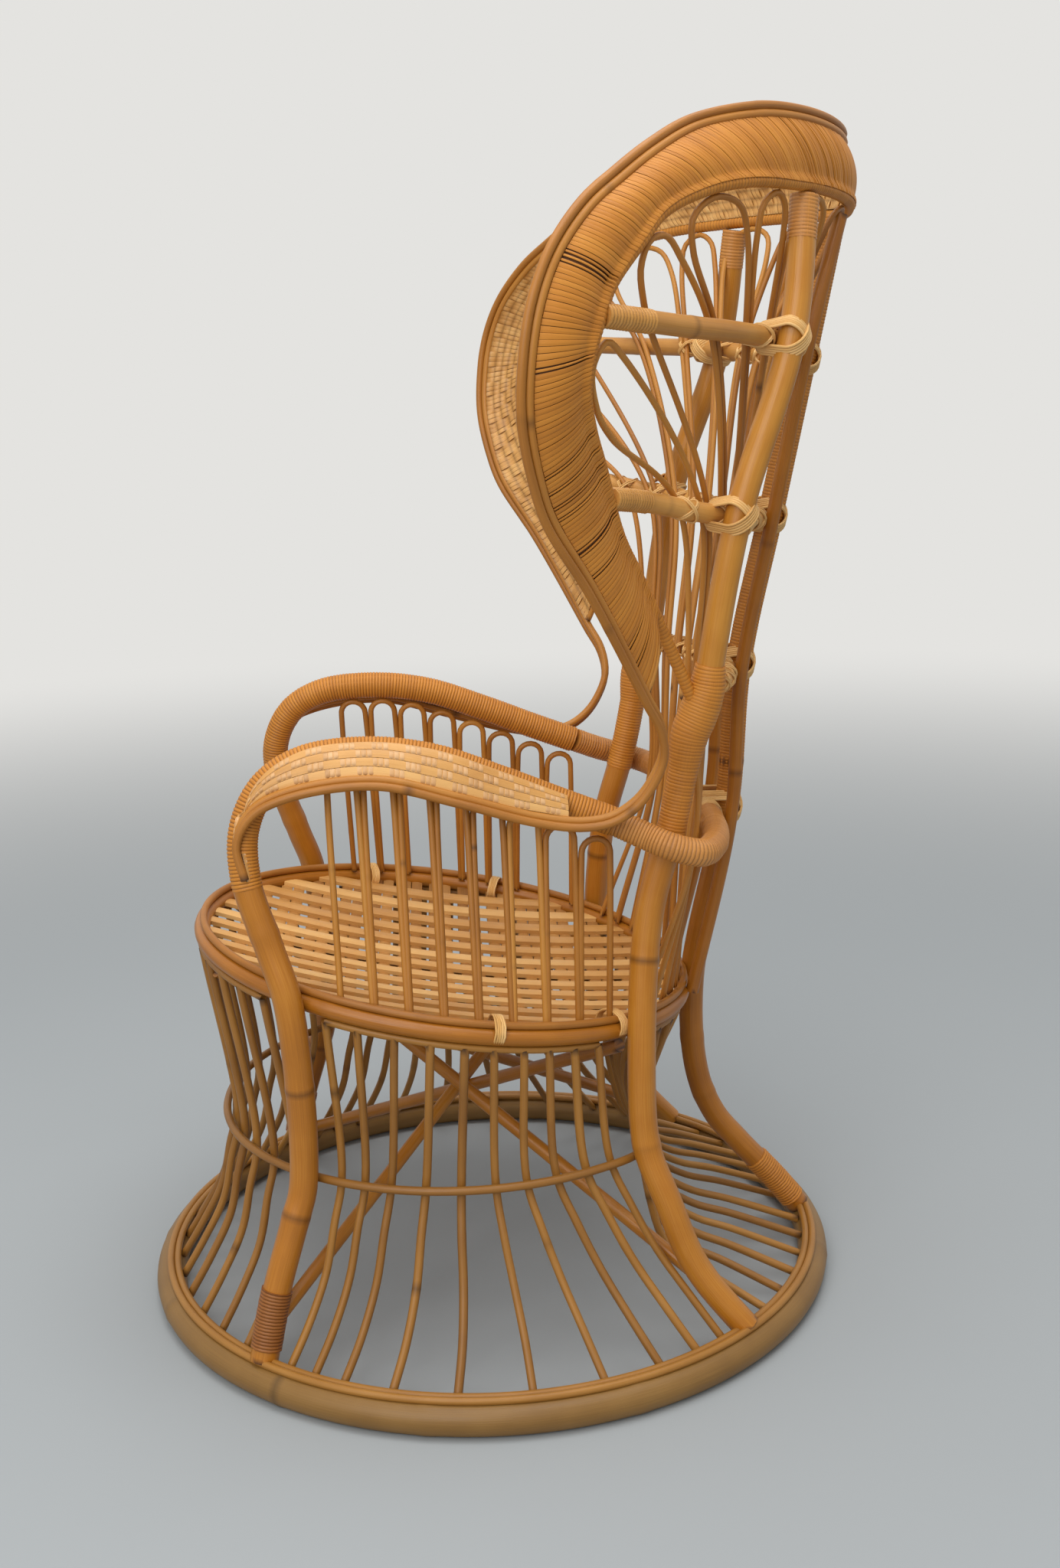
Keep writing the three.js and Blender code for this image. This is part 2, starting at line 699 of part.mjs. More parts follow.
// The canes of one side hang from a header cane under the seat ring.
function skirt(seatDegrees, cane, grow) {
  const canes = seatDegrees.map((turn, i) => cane(turn * degree, i, grow));
  const header = seatDegrees.map((turn) => onRing(seatRing, turn * degree, 0, headerRise));
  canes.push(tube(header, headerSide + grow, thinSides));
  return fuse(canes);
}
const frontCount = 12;
const frontSpread = { seat: 46, waist: 45.5, floor: 41.5 };
const frontTurns = [];
for (let i = 0; i < frontCount; i += 1) frontTurns.push((2 * i) / (frontCount - 1) - 1);
const frontSeat = frontTurns.map((turn) => frontSpread.seat * turn - 90);
function frontCane(seatAngle, i, grow) {
  const waistAngle = (frontSpread.waist * frontTurns[i] - 90) * degree;
  const floorAngle = (frontSpread.floor * frontTurns[i] - 90) * degree;
  return skirtCane(seatAngle, waistAngle, floorAngle, grow);
}
const sideSeat = [-27, -19.7, -11.6, -4, 3.2, 9.4, 16, 21.8, 28, 34.5];
const sideWaist = [-31, -25, -18.7, -10.8, -3, 4.6, 11.6, 18.6, 26, 32.8];
const sideFloor = [-38, -33, -27.5, -19, -8.4, 3.6, 15.5, 25.5, 33, 38.8];
function sideCane(seatAngle, i, grow) {
  return skirtCane(seatAngle, sideWaist[i] * degree, sideFloor[i] * degree, grow);
}
// Behind, the canes lean in to the straight of the waist hoop and sweep out flat to the floor ring.
const rearSeat = [49, 56.5, 64, 71.5, 79, 86];
const rearWaistShares = [0.43, 0.355, 0.28, 0.2025, 0.125, 0.0425];
const rearFloor = [51.5, 58.5, 65.5, 72.5, 79.2, 85.6];
const rearSweepShares = [[0.07, 0.109], [0.18, 0.072], [0.345, 0.055], [0.57, 0.0445]];
function rearCane(seatAngle, i, grow) {
  const waist = whereOn(waistBackLine, "x", rearWaistShares[i] * baseRadius);
  waist.y -= waistCaneRadius + skirtCaneRadius + gap;
  const foot = onRing(floorRing, rearFloor[i] * degree, skirtEndOut, skirtEndRise);
  const points = [onRing(seatRing, seatAngle, 0, headerRise), waist];
  for (const share of rearSweepShares) {
    points.push(waist.clone().lerp(foot, share[0]).setZ(share[1] * overallHeight));
  }
  points.push(foot);
  return tube(points, skirtCaneRadius + grow, thinSides);
}
add("skirt_front", caneFinish, (grow) => skirt(frontSeat, frontCane, grow));
addPair("skirt_side", caneFinish, (grow) => skirt(sideSeat, sideCane, grow));
addPair("skirt_rear", caneFinish, (grow) => skirt(rearSeat, rearCane, grow));

// Arm galleries: hairpin canes side by side between the arm pole and the seat ring. The feet of
// neighbouring pins meet on the ring.
const footMeet = 0.35;
const armLine = curveOf(armPolePoints);
const galleryFirstShare = -0.405;
const galleryLastShare = 0.33;
const galleryCount = 8;
const galleryFootOut = -(beadFlat + galleryCaneRadius + gap + ringSag(seatRing));
const galleryFootRise = (seatFlat + galleryCaneRadius + 2 * gap) * Math.SQRT2 + galleryFootOut;
function galleryFoot(y) {
  const angle = Math.asin((y - seatRing.y) / seatRing.radius);
  return onRing(seatRing, angle, galleryFootOut, galleryFootRise);
}
function gallery(grow) {
  const pins = [];
  const from = galleryFirstShare * baseRadius;
  const pitch = ((galleryLastShare - galleryFirstShare) * baseRadius) / galleryCount;
  const inset = galleryCaneRadius + gap;
  for (let i = 0; i < galleryCount; i += 1) {
    const front = from + i * pitch + inset;
    const back = from + (i + 1) * pitch - inset;
    const middle = (front + back) / 2;
    const half = (back - front) / 2;
    const top = whereOn(armLine, "y", middle);
    const lowest = Math.min(top.z, whereOn(armLine, "y", front).z, whereOn(armLine, "y", back).z);
    const crest = lowest - legRadius - galleryCaneRadius - gap;
    const archSteps = 6;
    const lean = (y, z, foot) => {
      const part = (crest - z) / (crest - foot.z);
      return vec(top.x + (foot.x - top.x) * part, y + (foot.y - y) * part, z);
    };
    const frontFoot = galleryFoot(front - (1 - footMeet) * inset);
    const backFoot = galleryFoot(back + (1 - footMeet) * inset);
    const points = [frontFoot];
    for (let k = 0; k <= archSteps; k += 1) {
      const turn = (Math.PI * k) / archSteps;
      const y = middle - half * Math.cos(turn);
      const z = crest - half * (1 - Math.sin(turn));
      points.push(lean(y, z, k < archSteps / 2 ? frontFoot : backFoot));
    }
    points.push(backFoot);
    pins.push(tube(points, galleryCaneRadius + grow, thinSides));
  }
  return fuse(pins);
}
addPair("arm_gallery", caneFinish, gallery);

// Fan: long canes from the back of the seat, inside the ribs, spreading up to the hood pole.
const fanShares = [
  { seat: 0.06, rail: 0.06, low: 0.065, mid: 0.08, top: 0.11, end: 0.13, meet: 1 },
  { seat: 0.13, rail: 0.13, low: 0.14, mid: 0.17, top: 0.24, end: 0.315 },
  { seat: 0.2, rail: 0.2, low: 0.21, mid: 0.26, top: 0.365, end: 0.505 },
  { seat: 0.27, rail: 0.27, low: 0.285, mid: 0.345, top: 0.505, end: 0.63 },
  { seat: 0.335, rail: 0.335, low: 0.35, mid: 0.425, top: 0.65, end: 0.81 },
  { seat: 0.4, rail: 0.4, low: 0.41, mid: 0.495, top: 0.82, end: 0.905 },
];
const fanEdge = { seat: 0.46, rail: 0.45, low: 0.455, mid: 0.565, end: 0.775 };
const fanEdgeInner = { seat: 0.4, rail: 0.4, low: 0.41, mid: 0.5, end: 0.84 };
const fanFootOut = -(beadFlat + fanCaneRadius + gap + ringSag(seatRing));
const fanFootRise = (seatFlat + fanCaneRadius + 2 * gap) * Math.SQRT2 + fanFootOut;
const fanReach = fanCaneRadius + 10 * gap;
const fanHalfPair = fanCaneRadius + gap;
const fanStop = hoodPoleRadius + fanCaneRadius + gap;
const upperPart = curveOf(spots(hoodInnerShares));
const hoodWaistShare = 0.8;
const hoodWaist = hoodWaistShare * overallHeight;
// Point on the hood pole's middle line, above its waist, at a distance from the middle plane.
function hoodSpot(x) {
  return leastOn(upperPart, (p) => Math.abs(p.x - x) + Math.max(0, hoodWaist - p.z) * baseRadius);
}
function stopShort(from, to, short) {
  const run = to.clone().sub(from);
  return to.clone().addScaledVector(run.normalize(), -short);
}
function fanFoot(x) {
  return onRing(seatRing, Math.acos(x / seatRing.radius), fanFootOut, fanFootRise);
}
// One leg of a hairpin, up from the seat ring inside the ribs, to below the hood pole. Its foot
// meets the foot of the next hairpin's leg.
function fanLeg(share, aside) {
  const at = (level) => share[level] * baseRadius + aside;
  const points = [
    fanFoot(share.seat * baseRadius + (share.meet ?? footMeet) * aside),
    beside(railLine, at("rail"), -(railRadius + fanReach)),
    beside(lowRibLine, at("low"), -(ribRadius + fanReach)),
    beside(midRibLine, at("mid"), -(ribRadius + fanReach)),
  ];
  if (share.top) points.push(beside(topRibLine, at("top"), -(ribRadius + fanReach)));
  const head = share.top ? hoodSpot(at("end") + aside) : whereOn(upperPart, "z", share.end * overallHeight);
  points.push(stopShort(points[points.length - 1], head, fanStop + fanArch));
  return { points, head };
}
// A hairpin's two legs meet in an arch whose crest lies against the hood pole.
function hairpin(one, other, crest, grow) {
  const from = one.points[one.points.length - 1];
  const to = other.points[other.points.length - 1];
  const shoulder = (end, head) => end.clone().lerp(head, 0.52).lerp(crest, 0.25);
  const points = [...one.points, shoulder(from, one.head), crest, shoulder(to, other.head), ...other.points.reverse()];
  return tube(points, fanCaneRadius + grow, thinSides);
}
function fan(grow) {
  const pins = [];
  const pairs = fanShares.slice(1).map((share, i) => [fanShares[i], share]);
  pairs.push([fanEdgeInner, fanEdge]);
  for (const [inner, outer] of pairs) {
    const one = fanLeg(inner, fanHalfPair);
    const other = fanLeg(outer, -fanHalfPair);
    const between = (a, b) => a.clone().lerp(b, 0.5);
    const crestOn = nearestOn(upperPart, between(one.head, other.head));
    const crest = stopShort(between(one.points[one.points.length - 1], other.points[other.points.length - 1]), crestOn, fanStop);
    pins.push(hairpin(one, other, crest, grow));
  }
  return fuse(pins);
}
addPair("back_fan", caneFinish, fan);
add("back_fan_middle", caneFinish, (grow) => {
  const one = fanLeg(fanShares[0], -fanHalfPair);
  const other = { points: mirrored(one.points), head: mirrored([one.head])[0] };
  const crest = whereOn(centrePostLine, "z", one.head.z - fanArch / 2);
  crest.y -= centrePostRadius + fanCaneRadius + 2 * gap;
  return hairpin(one, other, crest, grow);
});

// The upper posts are notched where the hairpins pass them under the hood.
addPair("upper_post", poleFinish, (grow) => tube(upperPostPoints, upperPostRadius + grow, legSides, fineSteps));

// Braces: long poles from each foot up to the seat ring on the far side.
const frontLegLine = curveOf(frontLegPoints);
const rearLegLine = curveOf(rearLegPoints);
const braceFootShare = 0.05;
const braceRearFootShare = 0.06;
const frontBraceAngle = 137 * degree;
const rearBraceAngle = 247 * degree;
const braceDrop = 2.75 * braceRadius;
function brace(leg, footShare, angle, drop, flip, grow) {
  const from = whereOn(leg, "z", footShare * overallHeight - drop);
  const to = onRing(seatRing, angle, -0.7 * seatPoleRadius, -0.9 * seatPoleRadius - 0.7 * drop);
  const body = straight(from, to, braceRadius + grow, rimSides);
  return flip ? body.mirror([1, 0, 0]) : body;
}
add("brace_front_left", poleFinish, (grow) => brace(frontLegLine, braceFootShare, frontBraceAngle, 0, false, grow));
add("brace_front_right", poleFinish, (grow) => brace(frontLegLine, braceFootShare, frontBraceAngle, braceDrop, true, grow));
add("brace_rear_left", poleFinish, (grow) => brace(rearLegLine, braceRearFootShare, rearBraceAngle, 0, false, grow));
add("brace_rear_right", poleFinish, (grow) => brace(rearLegLine, braceRearFootShare, rearBraceAngle, braceDrop, true, grow));

// Wraps round the feet, and lashings where posts and ribs cross.
function stretch(line, axis, from, to, steps) {
  const points = [];
  for (let i = 0; i <= steps; i += 1) points.push(whereOn(line, axis, from + ((to - from) * i) / steps));
  return points;
}
const cuffFrom = floorRing.z + floorPoleRadius + 2.2 * beadRadius;
function cuff(line, radius, grow) {
  return tube(stretch(line, "z", cuffFrom, cuffFrom + cuffLength, cuffSteps), radius + cuffWall + grow, legSides);
}
addPair("foot_wrap_front", darkPoleFinish, (grow) => cuff(frontLegLine, legRadius, grow));

// A lashing rings a post and a pole where they cross, on the slant between their two directions.
function lash(line, x, postPoints, postRadius, poleRadius, grow) {
  const pole = whereOn(line, "x", x);
  const postLine = curveOf(postPoints);
  const post = whereOn(postLine, "z", pole.z);
  const near = 0.02 * baseRadius;
  const alongPole = whereOn(line, "x", x - near).sub(pole).normalize();
  const alongPost = whereOn(postLine, "z", pole.z + near).sub(post).normalize();
  const outward = post.clone().sub(pole).normalize();
  const depth = 2 * (poleRadius + postRadius) + gap;
  const middle = pole.clone().addScaledVector(outward, depth / 2 - poleRadius);
  const slant = alongPole.add(alongPost);
  slant.addScaledVector(outward, -slant.dot(outward)).normalize();
  const geometry = new THREE.TorusGeometry(depth / 2 + lashRadius + gap, lashRadius + grow, thinSides, lashFacets);
  geometry.applyMatrix4(new THREE.Matrix4().makeBasis(outward, slant.clone().cross(outward), slant));
  geometry.translate(middle.x, middle.y, middle.z);
  return solidOf(geometry);
}
const crossings = { rail: railLine, low: lowRibLine, mid: midRibLine, top: topRibLine };
for (const [level, line] of Object.entries(crossings)) {
  const poleRadius = level === "rail" ? railRadius : ribRadius;
  add(`lash_${level}`, lashFinish, (grow) => lash(line, 0, centrePostPoints, centrePostRadius, poleRadius, grow));
}
addPair("lash_side_mid", lashFinish, (grow) =>
  lash(midRibLine, upperMidShare * baseRadius, upperPostPoints, upperPostRadius, ribRadius, grow));
addPair("lash_side_top", lashFinish, (grow) =>
  lash(topRibLine, upperTopShare * baseRadius, upperPostPoints, upperPostRadius, ribRadius, grow));

// The finished group, with its box centred over the origin.
const whole = { min: [Infinity, Infinity, Infinity], max: [-Infinity, -Infinity, -Infinity] };
for (const part of parts) {
  const box = part.body.boundingBox();
  for (let i = 0; i < 3; i += 1) {
    whole.min[i] = Math.min(whole.min[i], box.min[i]);
    whole.max[i] = Math.max(whole.max[i], box.max[i]);
  }
}
const middleX = (whole.min[0] + whole.max[0]) / 2;
const middleY = (whole.min[1] + whole.max[1]) / 2;
const chair = new THREE.Group();
chair.name = "hooded_cane_chair";
for (const part of parts) {
  const data = part.body.translate([-middleX, -middleY, -whole.min[2]]).getMesh();
  const geometry = new THREE.BufferGeometry();
  geometry.setAttribute("position", new THREE.BufferAttribute(new Float32Array(data.vertProperties), 3));
  geometry.setIndex(new THREE.BufferAttribute(new Uint32Array(data.triVerts), 1));
  const material = new THREE.MeshStandardMaterial({
    color: part.finish.color,
    roughness: part.finish.roughness,
    metalness: 0,
  });
  const mesh = new THREE.Mesh(geometry, material);
  mesh.name = part.name;
  chair.add(mesh);
}

export default chair;
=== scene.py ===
# Hooded armchair of bent cane poles on a round floor ring: the finished poles, canes and weave.
import math
import random

import bpy
import numpy as np
from mathutils import Matrix, Vector


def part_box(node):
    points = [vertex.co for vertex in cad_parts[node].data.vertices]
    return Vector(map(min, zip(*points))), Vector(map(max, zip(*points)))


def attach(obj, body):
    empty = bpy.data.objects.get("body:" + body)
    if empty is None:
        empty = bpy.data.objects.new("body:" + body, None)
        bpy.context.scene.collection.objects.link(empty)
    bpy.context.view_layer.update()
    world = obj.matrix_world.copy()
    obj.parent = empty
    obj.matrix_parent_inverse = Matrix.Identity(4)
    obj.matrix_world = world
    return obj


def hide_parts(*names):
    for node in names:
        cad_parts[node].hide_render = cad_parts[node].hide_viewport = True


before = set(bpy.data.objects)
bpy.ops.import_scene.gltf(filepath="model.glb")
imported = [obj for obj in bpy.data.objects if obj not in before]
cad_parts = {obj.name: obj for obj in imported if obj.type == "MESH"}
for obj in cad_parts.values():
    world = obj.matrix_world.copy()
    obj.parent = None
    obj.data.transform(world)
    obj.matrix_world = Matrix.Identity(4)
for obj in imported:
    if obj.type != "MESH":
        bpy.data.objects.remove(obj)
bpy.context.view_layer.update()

# Sizes in metres. The sitter's left is +X, the back is +Y, up is +Z.
BASE_RADIUS = 0.4
OVERALL_HEIGHT = 1.283
FLOOR_POLE = 0.017
FLOOR_FLAT = 0.0015
BEAD = 0.0042
LEG = 0.015
CENTRE_POST = 0.014
UPPER_POST = 0.014
INNER_POST = 0.0075
SEAT_POLE = 0.009
WAIST_CANE = 0.0046
SKIRT_CANE = 0.0046
GALLERY_CANE = 0.0034
FAN_CANE = 0.0031
RIB = 0.0102
RAIL = 0.0148
RIM_CANE = 0.0038
HOOD_POLE = 0.0065
BRACE = 0.0075
GAP = 0.0003
WRAP_WIDTH = 0.0036
STEP = 0.006
DEGREE = math.pi / 180

floor_low, floor_high = (Vector(corner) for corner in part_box("floor_ring"))
MIDDLE_Y = (floor_low.y + floor_high.y) / 2
chance = random.Random(7)


# Lines: points in a row that the poles, canes and edges follow.
def spot(share):
    return Vector((share[0] * BASE_RADIUS, share[1] * BASE_RADIUS + MIDDLE_Y, share[2] * OVERALL_HEIGHT))


def spots(shares):
    return [spot(share) for share in shares]


def other_side(points):
    return [Vector((-p.x, p.y, p.z)) for p in points]


def as_made(points):
    return points


SIDES = (("left", as_made), ("right", other_side))


def both_sides(points):
    return points + other_side(points[:-1])[::-1]


def bow(points, fine=16):
    """The smooth line that a bent cane takes through its points."""
    ahead = [points[0] * 2 - points[1]] + points + [points[-1] * 2 - points[-2]]
    line = []
    for i in range(1, len(ahead) - 2):
        a, b, c, d = ahead[i - 1:i + 3]
        ab = max((b - a).length ** 0.5, 1e-4)
        bc = max((c - b).length ** 0.5, 1e-4)
        cd = max((d - c).length ** 0.5, 1e-4)
        leave = ((b - a) / ab - (c - a) / (ab + bc) + (c - b) / bc) * bc
        reach = ((c - b) / bc - (d - b) / (bc + cd) + (d - c) / cd) * bc
        for k in range(fine):
            t = k / fine
            line.append(b + leave * t + (3 * (c - b) - 2 * leave - reach) * t ** 2
                        + (2 * (b - c) + leave + reach) * t ** 3)
    return line + [points[-1].copy()]


def run_of(line):
    total = [0.0]
    for a, b in zip(line, line[1:]):
        total.append(total[-1] + (b - a).length)
    return total


def even(line, step):
    """The same line with its points an equal step apart."""
    total = run_of(line)
    count = max(2, round(total[-1] / step))
    wanted = np.linspace(0, total[-1], count + 1)
    flat = np.array([tuple(p) for p in line])
    return [Vector(p) for p in np.stack([np.interp(wanted, total, flat[:, i]) for i in range(3)], axis=1)]


def eased(points, times=30):
    """A bent pole's line with its sharpest bends eased out."""
    line = even(bow(points), STEP)
    for _ in range(times):
        line = [line[0]] + [(a + b * 2 + c) / 4 for a, b, c in zip(line, line[1:], line[2:])] + [line[-1]]
    return line


def where(line, axis, value):
    """The first place on a line where one coordinate passes a value, or comes nearest to it."""
    for a, b in zip(line, line[1:]):
        if (a[axis] - value) * (b[axis] - value) <= 0 and a[axis] != b[axis]:
            return a.lerp(b, (value - a[axis]) / (b[axis] - a[axis]))
    return min(line, key=lambda p: abs(p[axis] - value)).copy()


def between(line, axis, low, high=math.inf):
    return [p for p in line if low <= p[axis] <= high]


def heading(line, place):
    """Which way a line runs at a place on it."""
    near = min(range(len(line)), key=lambda i: (line[i] - place).length)
    return (line[min(near + 1, len(line) - 1)] - line[max(near - 1, 0)]).normalized()


def beside(line, x, reach):
    """A place level with a bowed pole and beside it, outside it when the reach is positive."""
    p = where(line, 0, x)
    along = where(line, 0, x - 0.02 * BASE_RADIUS) - p
    along.z = 0
    along.normalize()
    outward = Vector((along.y, -along.x, 0))
    if outward.y < 0:
        outward.negate()
    return p + outward * reach


# Rings: each lies in its own plane, turned about the X axis.
FLOOR_RING = (BASE_RADIUS - FLOOR_POLE, 0, FLOOR_POLE - FLOOR_FLAT, 0)
WAIST_RING = (0.7 * BASE_RADIUS, -0.064 * BASE_RADIUS, 0.166 * OVERALL_HEIGHT, 0)
SEAT_RING = (0.698 * BASE_RADIUS, -0.109 * BASE_RADIUS, 0.3005 * OVERALL_HEIGHT, -9.9 * DEGREE)


def in_ring(ring, x, y, rise):
    """A place given in a ring's own plane, by its way across, its way back and its rise off the plane."""
    _, shift, height, tilt = ring
    return Vector((x, y * math.cos(tilt) - rise * math.sin(tilt) + shift + MIDDLE_Y,
                   y * math.sin(tilt) + rise * math.cos(tilt) + height))


def on_ring(ring, angle, out=0, rise=0):
    return in_ring(ring, (ring[0] + out) * math.cos(angle), (ring[0] + out) * math.sin(angle), rise)


def hoop(ring, out=0, rise=0, count=240):
    return [on_ring(ring, 2 * math.pi * i / count, out, rise) for i in range(count)]


def closed_bow(points, fine=16):
    """The smooth line of a hoop, through its points and back to the first."""
    return bow(points[-2:] + points + points[:2], fine)[2 * fine:(2 + len(points)) * fine]


# Waist hoop: round at the front and sides, nearly straight across behind the seat.
REAR_WAIST = 38.2 * DEGREE
WAIST_STEPS = 24
WAIST_BACK_SHARES = [(0.475, 0.4125, 0.166), (0.3, 0.44, 0.166), (0, 0.45, 0.166)]
waist_back = bow(both_sides([on_ring(WAIST_RING, REAR_WAIST)] + spots(WAIST_BACK_SHARES)))
waist_turn = (math.pi + 2 * REAR_WAIST) / WAIST_STEPS
waist_front = [on_ring(WAIST_RING, REAR_WAIST - waist_turn * i) for i in range(WAIST_STEPS + 1)]
waist_hoop = closed_bow(waist_front + both_sides(spots(WAIST_BACK_SHARES))[::-1])


# Bench work: how a piece is started, cleaned and handed over.
def clear_bench():
    if bpy.context.object and bpy.context.object.mode != "OBJECT":
        bpy.ops.object.mode_set(mode="OBJECT")
    bpy.ops.object.select_all(action="DESELECT")


def colour_of(piece, tone, node_and_shade=0.0):
    """How light a cane is, and where it has a dark node or joint or painted shade in a groove or between
    strands, kept for its finish.
    """
    mesh = piece.data
    for name, values in (("tone", tone), ("node_and_shade", node_and_shade)):
        layer = mesh.attributes.get(name) or mesh.attributes.new(name, "FLOAT", "POINT")
        layer.data.foreach_set("value", np.broadcast_to(values, len(mesh.vertices)).astype(np.float32))


# A node on a cane: a low swelling with a thin dark line round it.
NODE_SWELL, NODE_REACH = 0.045, 0.006
NODE_DARK, NODE_LINE = 0.7, 0.0013


def bend(line, radius, sides=10, closed=False, tone=None, nodes=()):
    """One pole or cane bent along a line. Its radius is one number, or one for each point of the line."""
    clear_bench()
    total = run_of(line)
    span = total[-1]
    thick = np.broadcast_to(radius, len(line)).astype(float)
    node_and_shade = np.zeros(len(line))
    for node in nodes:
        away = np.abs(np.array(total) - node * span)
        thick = thick * (1 + NODE_SWELL * np.exp(-(away / NODE_REACH) ** 2))
        node_and_shade = np.maximum(node_and_shade, NODE_DARK * np.exp(-(away / NODE_LINE) ** 2))
    bpy.ops.curve.primitive_nurbs_path_add()
    piece = bpy.context.object
    path = piece.data
    path.splines.clear()
    run = path.splines.new("POLY")
    run.points.add(len(line) - 1)
    for point, place, half in zip(run.points, line, thick):
        point.co = (*place, 1)
        point.radius = half
    run.use_cyclic_u = closed
    path.dimensions = "3D"
    path.twist_mode = "MINIMUM"
    path.bevel_depth = 1
    path.bevel_resolution = sides // 2 - 2
    path.use_fill_caps = not closed
    bpy.ops.object.convert(target="MESH")
    piece = bpy.context.object
    grain = piece.data.uv_layers[0].data
    laid = np.empty(len(grain) * 2, np.float32)
    grain.foreach_get("uv", laid)
    start = chance.random() * 5
    round_about = 2 * math.pi * float(thick.mean())
    laid = laid.reshape(-1, 2) * (span, round_about) + (start, 0)
    grain.foreach_set("uv", laid.astype(np.float32).ravel())
    around = len(piece.data.vertices) // len(line) if closed else sides // 2 * 2
    caps = len(piece.data.vertices) - around * len(line)
    along = np.concatenate([np.ones(caps), np.repeat(node_and_shade, around)])
    colour_of(piece, chance.uniform(0.2, 0.8) if tone is None else tone, along)
    return piece


def gather(name, parts):
    """Joins what belongs together into one clean piece."""
    clear_bench()
    for part in parts:
        part.select_set(True)
    bpy.context.view_layer.objects.active = parts[0]
    if len(parts) > 1:
        bpy.ops.object.join()
    piece = bpy.context.object
    bpy.ops.object.mode_set(mode="EDIT")
    bpy.ops.mesh.select_all(action="SELECT")
    bpy.ops.mesh.remove_doubles(threshold=1e-6)
    bpy.ops.mesh.normals_make_consistent(inside=False)
    bpy.ops.object.mode_set(mode="OBJECT")
    bpy.ops.object.shade_smooth_by_angle(angle=50 * DEGREE)
    piece.name = name
    piece.data.name = name
    return piece


def hand_over(name, parts, finish, slot, *nodes):
    piece = gather(name, parts)
    piece.data.materials.clear()
    piece.data.materials.append(finish)
    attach(piece, "root")
    if nodes:
        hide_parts(*nodes)


def pair(name, make, finish, slot, *nodes):
    """The piece on the left and its twin on the right, each made on its own."""
    for side, turn in SIDES:
        hand_over(f"{name}_{side}", make(turn), finish, slot, *[f"{node}_{side}" for node in nodes])


def wound(line, radius, proud=0.0005, width=WRAP_WIDTH, sides=12, swell=0.0, groove_shade=0.34):
    """A flat strip wound turn by turn round a pole, each turn a low crown with a groove beside it, the groove
    darkened with painted shade.
    """
    crown = (0.0, 0.85, 1.0, 0.85)
    each = len(crown)
    stations = even(line, width / each)
    count = len(stations)
    wobble = [chance.uniform(-0.12, 0.12) * proud for _ in range(count // each + 2)]
    thick = [radius + swell * math.sin(math.pi * i / (count - 1)) + proud * crown[i % each]
             + wobble[i // each] * (i % each > 0) for i in range(count)]
    piece = bend(stations, thick, sides)
    turns = [chance.uniform(0.4, 0.62) for _ in range(count // each + 2)]
    around = sides // 2 * 2
    caps = len(piece.data.vertices) - around * count
    tones = [turns[i // each] for i in range(count)]
    # Painted shade: the groove beside each turn is darkened.
    groove_shades = [groove_shade if i % each == 0 else 0.0 for i in range(count)]
    colour_of(piece, np.concatenate([np.full(caps, 0.5), np.repeat(tones, around)]),
              np.concatenate([np.zeros(caps), np.repeat(groove_shades, around)]))
    return piece


# Finishes: bent pole, thin cane, woven strip, dark wrap and pale binding.
def paint(colour, shade=1):
    """A colour as seen, in red, green and blue, made a colour for the shader."""
    return (*[((c / 255 + 0.055) / 1.055) ** 2.4 * shade for c in colour], 1)


def new_finish(name):
    """A plain finish, with its tree of shader nodes and its main shader."""
    finish = bpy.data.materials.new(name)
    finish.use_nodes = True
    return finish, finish.node_tree, finish.node_tree.nodes["Principled BSDF"]


def feed(node, inputs):
    """Sets a shader node's inputs, each to a value or to the output of another node."""
    for name, value in inputs.items():
        if isinstance(value, bpy.types.NodeSocket):
            node.id_data.links.new(value, node.inputs[name])
        else:
            node.inputs[name].default_value = value


def new_node(tree, kind, inputs=None, **settings):
    node = tree.nodes.new("ShaderNode" + kind)
    for name, value in settings.items():
        setattr(node, name, value)
    feed(node, inputs or {})
    return node


def cane_finish(name, light, middle, dark, sheen, streak):
    """Varnished cane: long fine grain, slow blotches, darker nodes, painted shade in grooves and between
    strands, and a satin gloss.
    """
    finish, tree, shader = new_finish(name)
    places = new_node(tree, "TexCoord")
    stretch = new_node(tree, "Mapping", {"Scale": (14, 900, 1), "Vector": places.outputs["UV"]})
    grain = new_node(tree, "TexNoise", {"Scale": 1, "Detail": 4, "Vector": stretch.outputs["Vector"]})
    blotch = new_node(tree, "TexNoise", {"Scale": 16, "Detail": 3, "Vector": places.outputs["Object"]})
    tone = new_node(tree, "Attribute", attribute_name="tone")
    mixed = new_node(tree, "Math", {0: grain.outputs["Fac"], 1: streak, 2: tone.outputs["Fac"]},
                     operation="MULTIPLY_ADD")
    shade = new_node(tree, "Math", {0: blotch.outputs["Fac"], 1: 0.7, 2: mixed.outputs[0]},
                     operation="MULTIPLY_ADD")
    scale = new_node(tree, "MapRange", {"From Min": 0.35, "From Max": 1.35 + streak,
                                        "Value": shade.outputs[0]})
    ramp = new_node(tree, "ValToRGB", {"Fac": scale.outputs[0]})
    ramp.color_ramp.elements[0].color = paint(dark)
    ramp.color_ramp.elements[1].color = paint(light)
    ramp.color_ramp.elements.new(0.5).color = paint(middle)
    # Mixes in a much darker colour: dark node lines, and painted shade in wrap grooves and between weave
    # strands.
    node_and_shade = new_node(tree, "Attribute", attribute_name="node_and_shade")
    ring = new_node(tree, "Mix", {"A": ramp.outputs["Color"], "B": paint(dark, 0.28),
                                  "Factor": node_and_shade.outputs["Fac"]}, data_type="RGBA")
    gloss = new_node(tree, "MapRange", {"To Min": sheen - 0.08, "To Max": sheen + 0.14,
                                        "Value": grain.outputs["Fac"]})
    bump = new_node(tree, "Bump", {"Strength": 0.35, "Distance": 0.0006, "Height": grain.outputs["Fac"]})
    feed(shader, {"Base Color": ring.outputs["Result"], "Roughness": gloss.outputs[0],
                  "Normal": bump.outputs["Normal"], "Specular IOR Level": 0.45})
    return finish


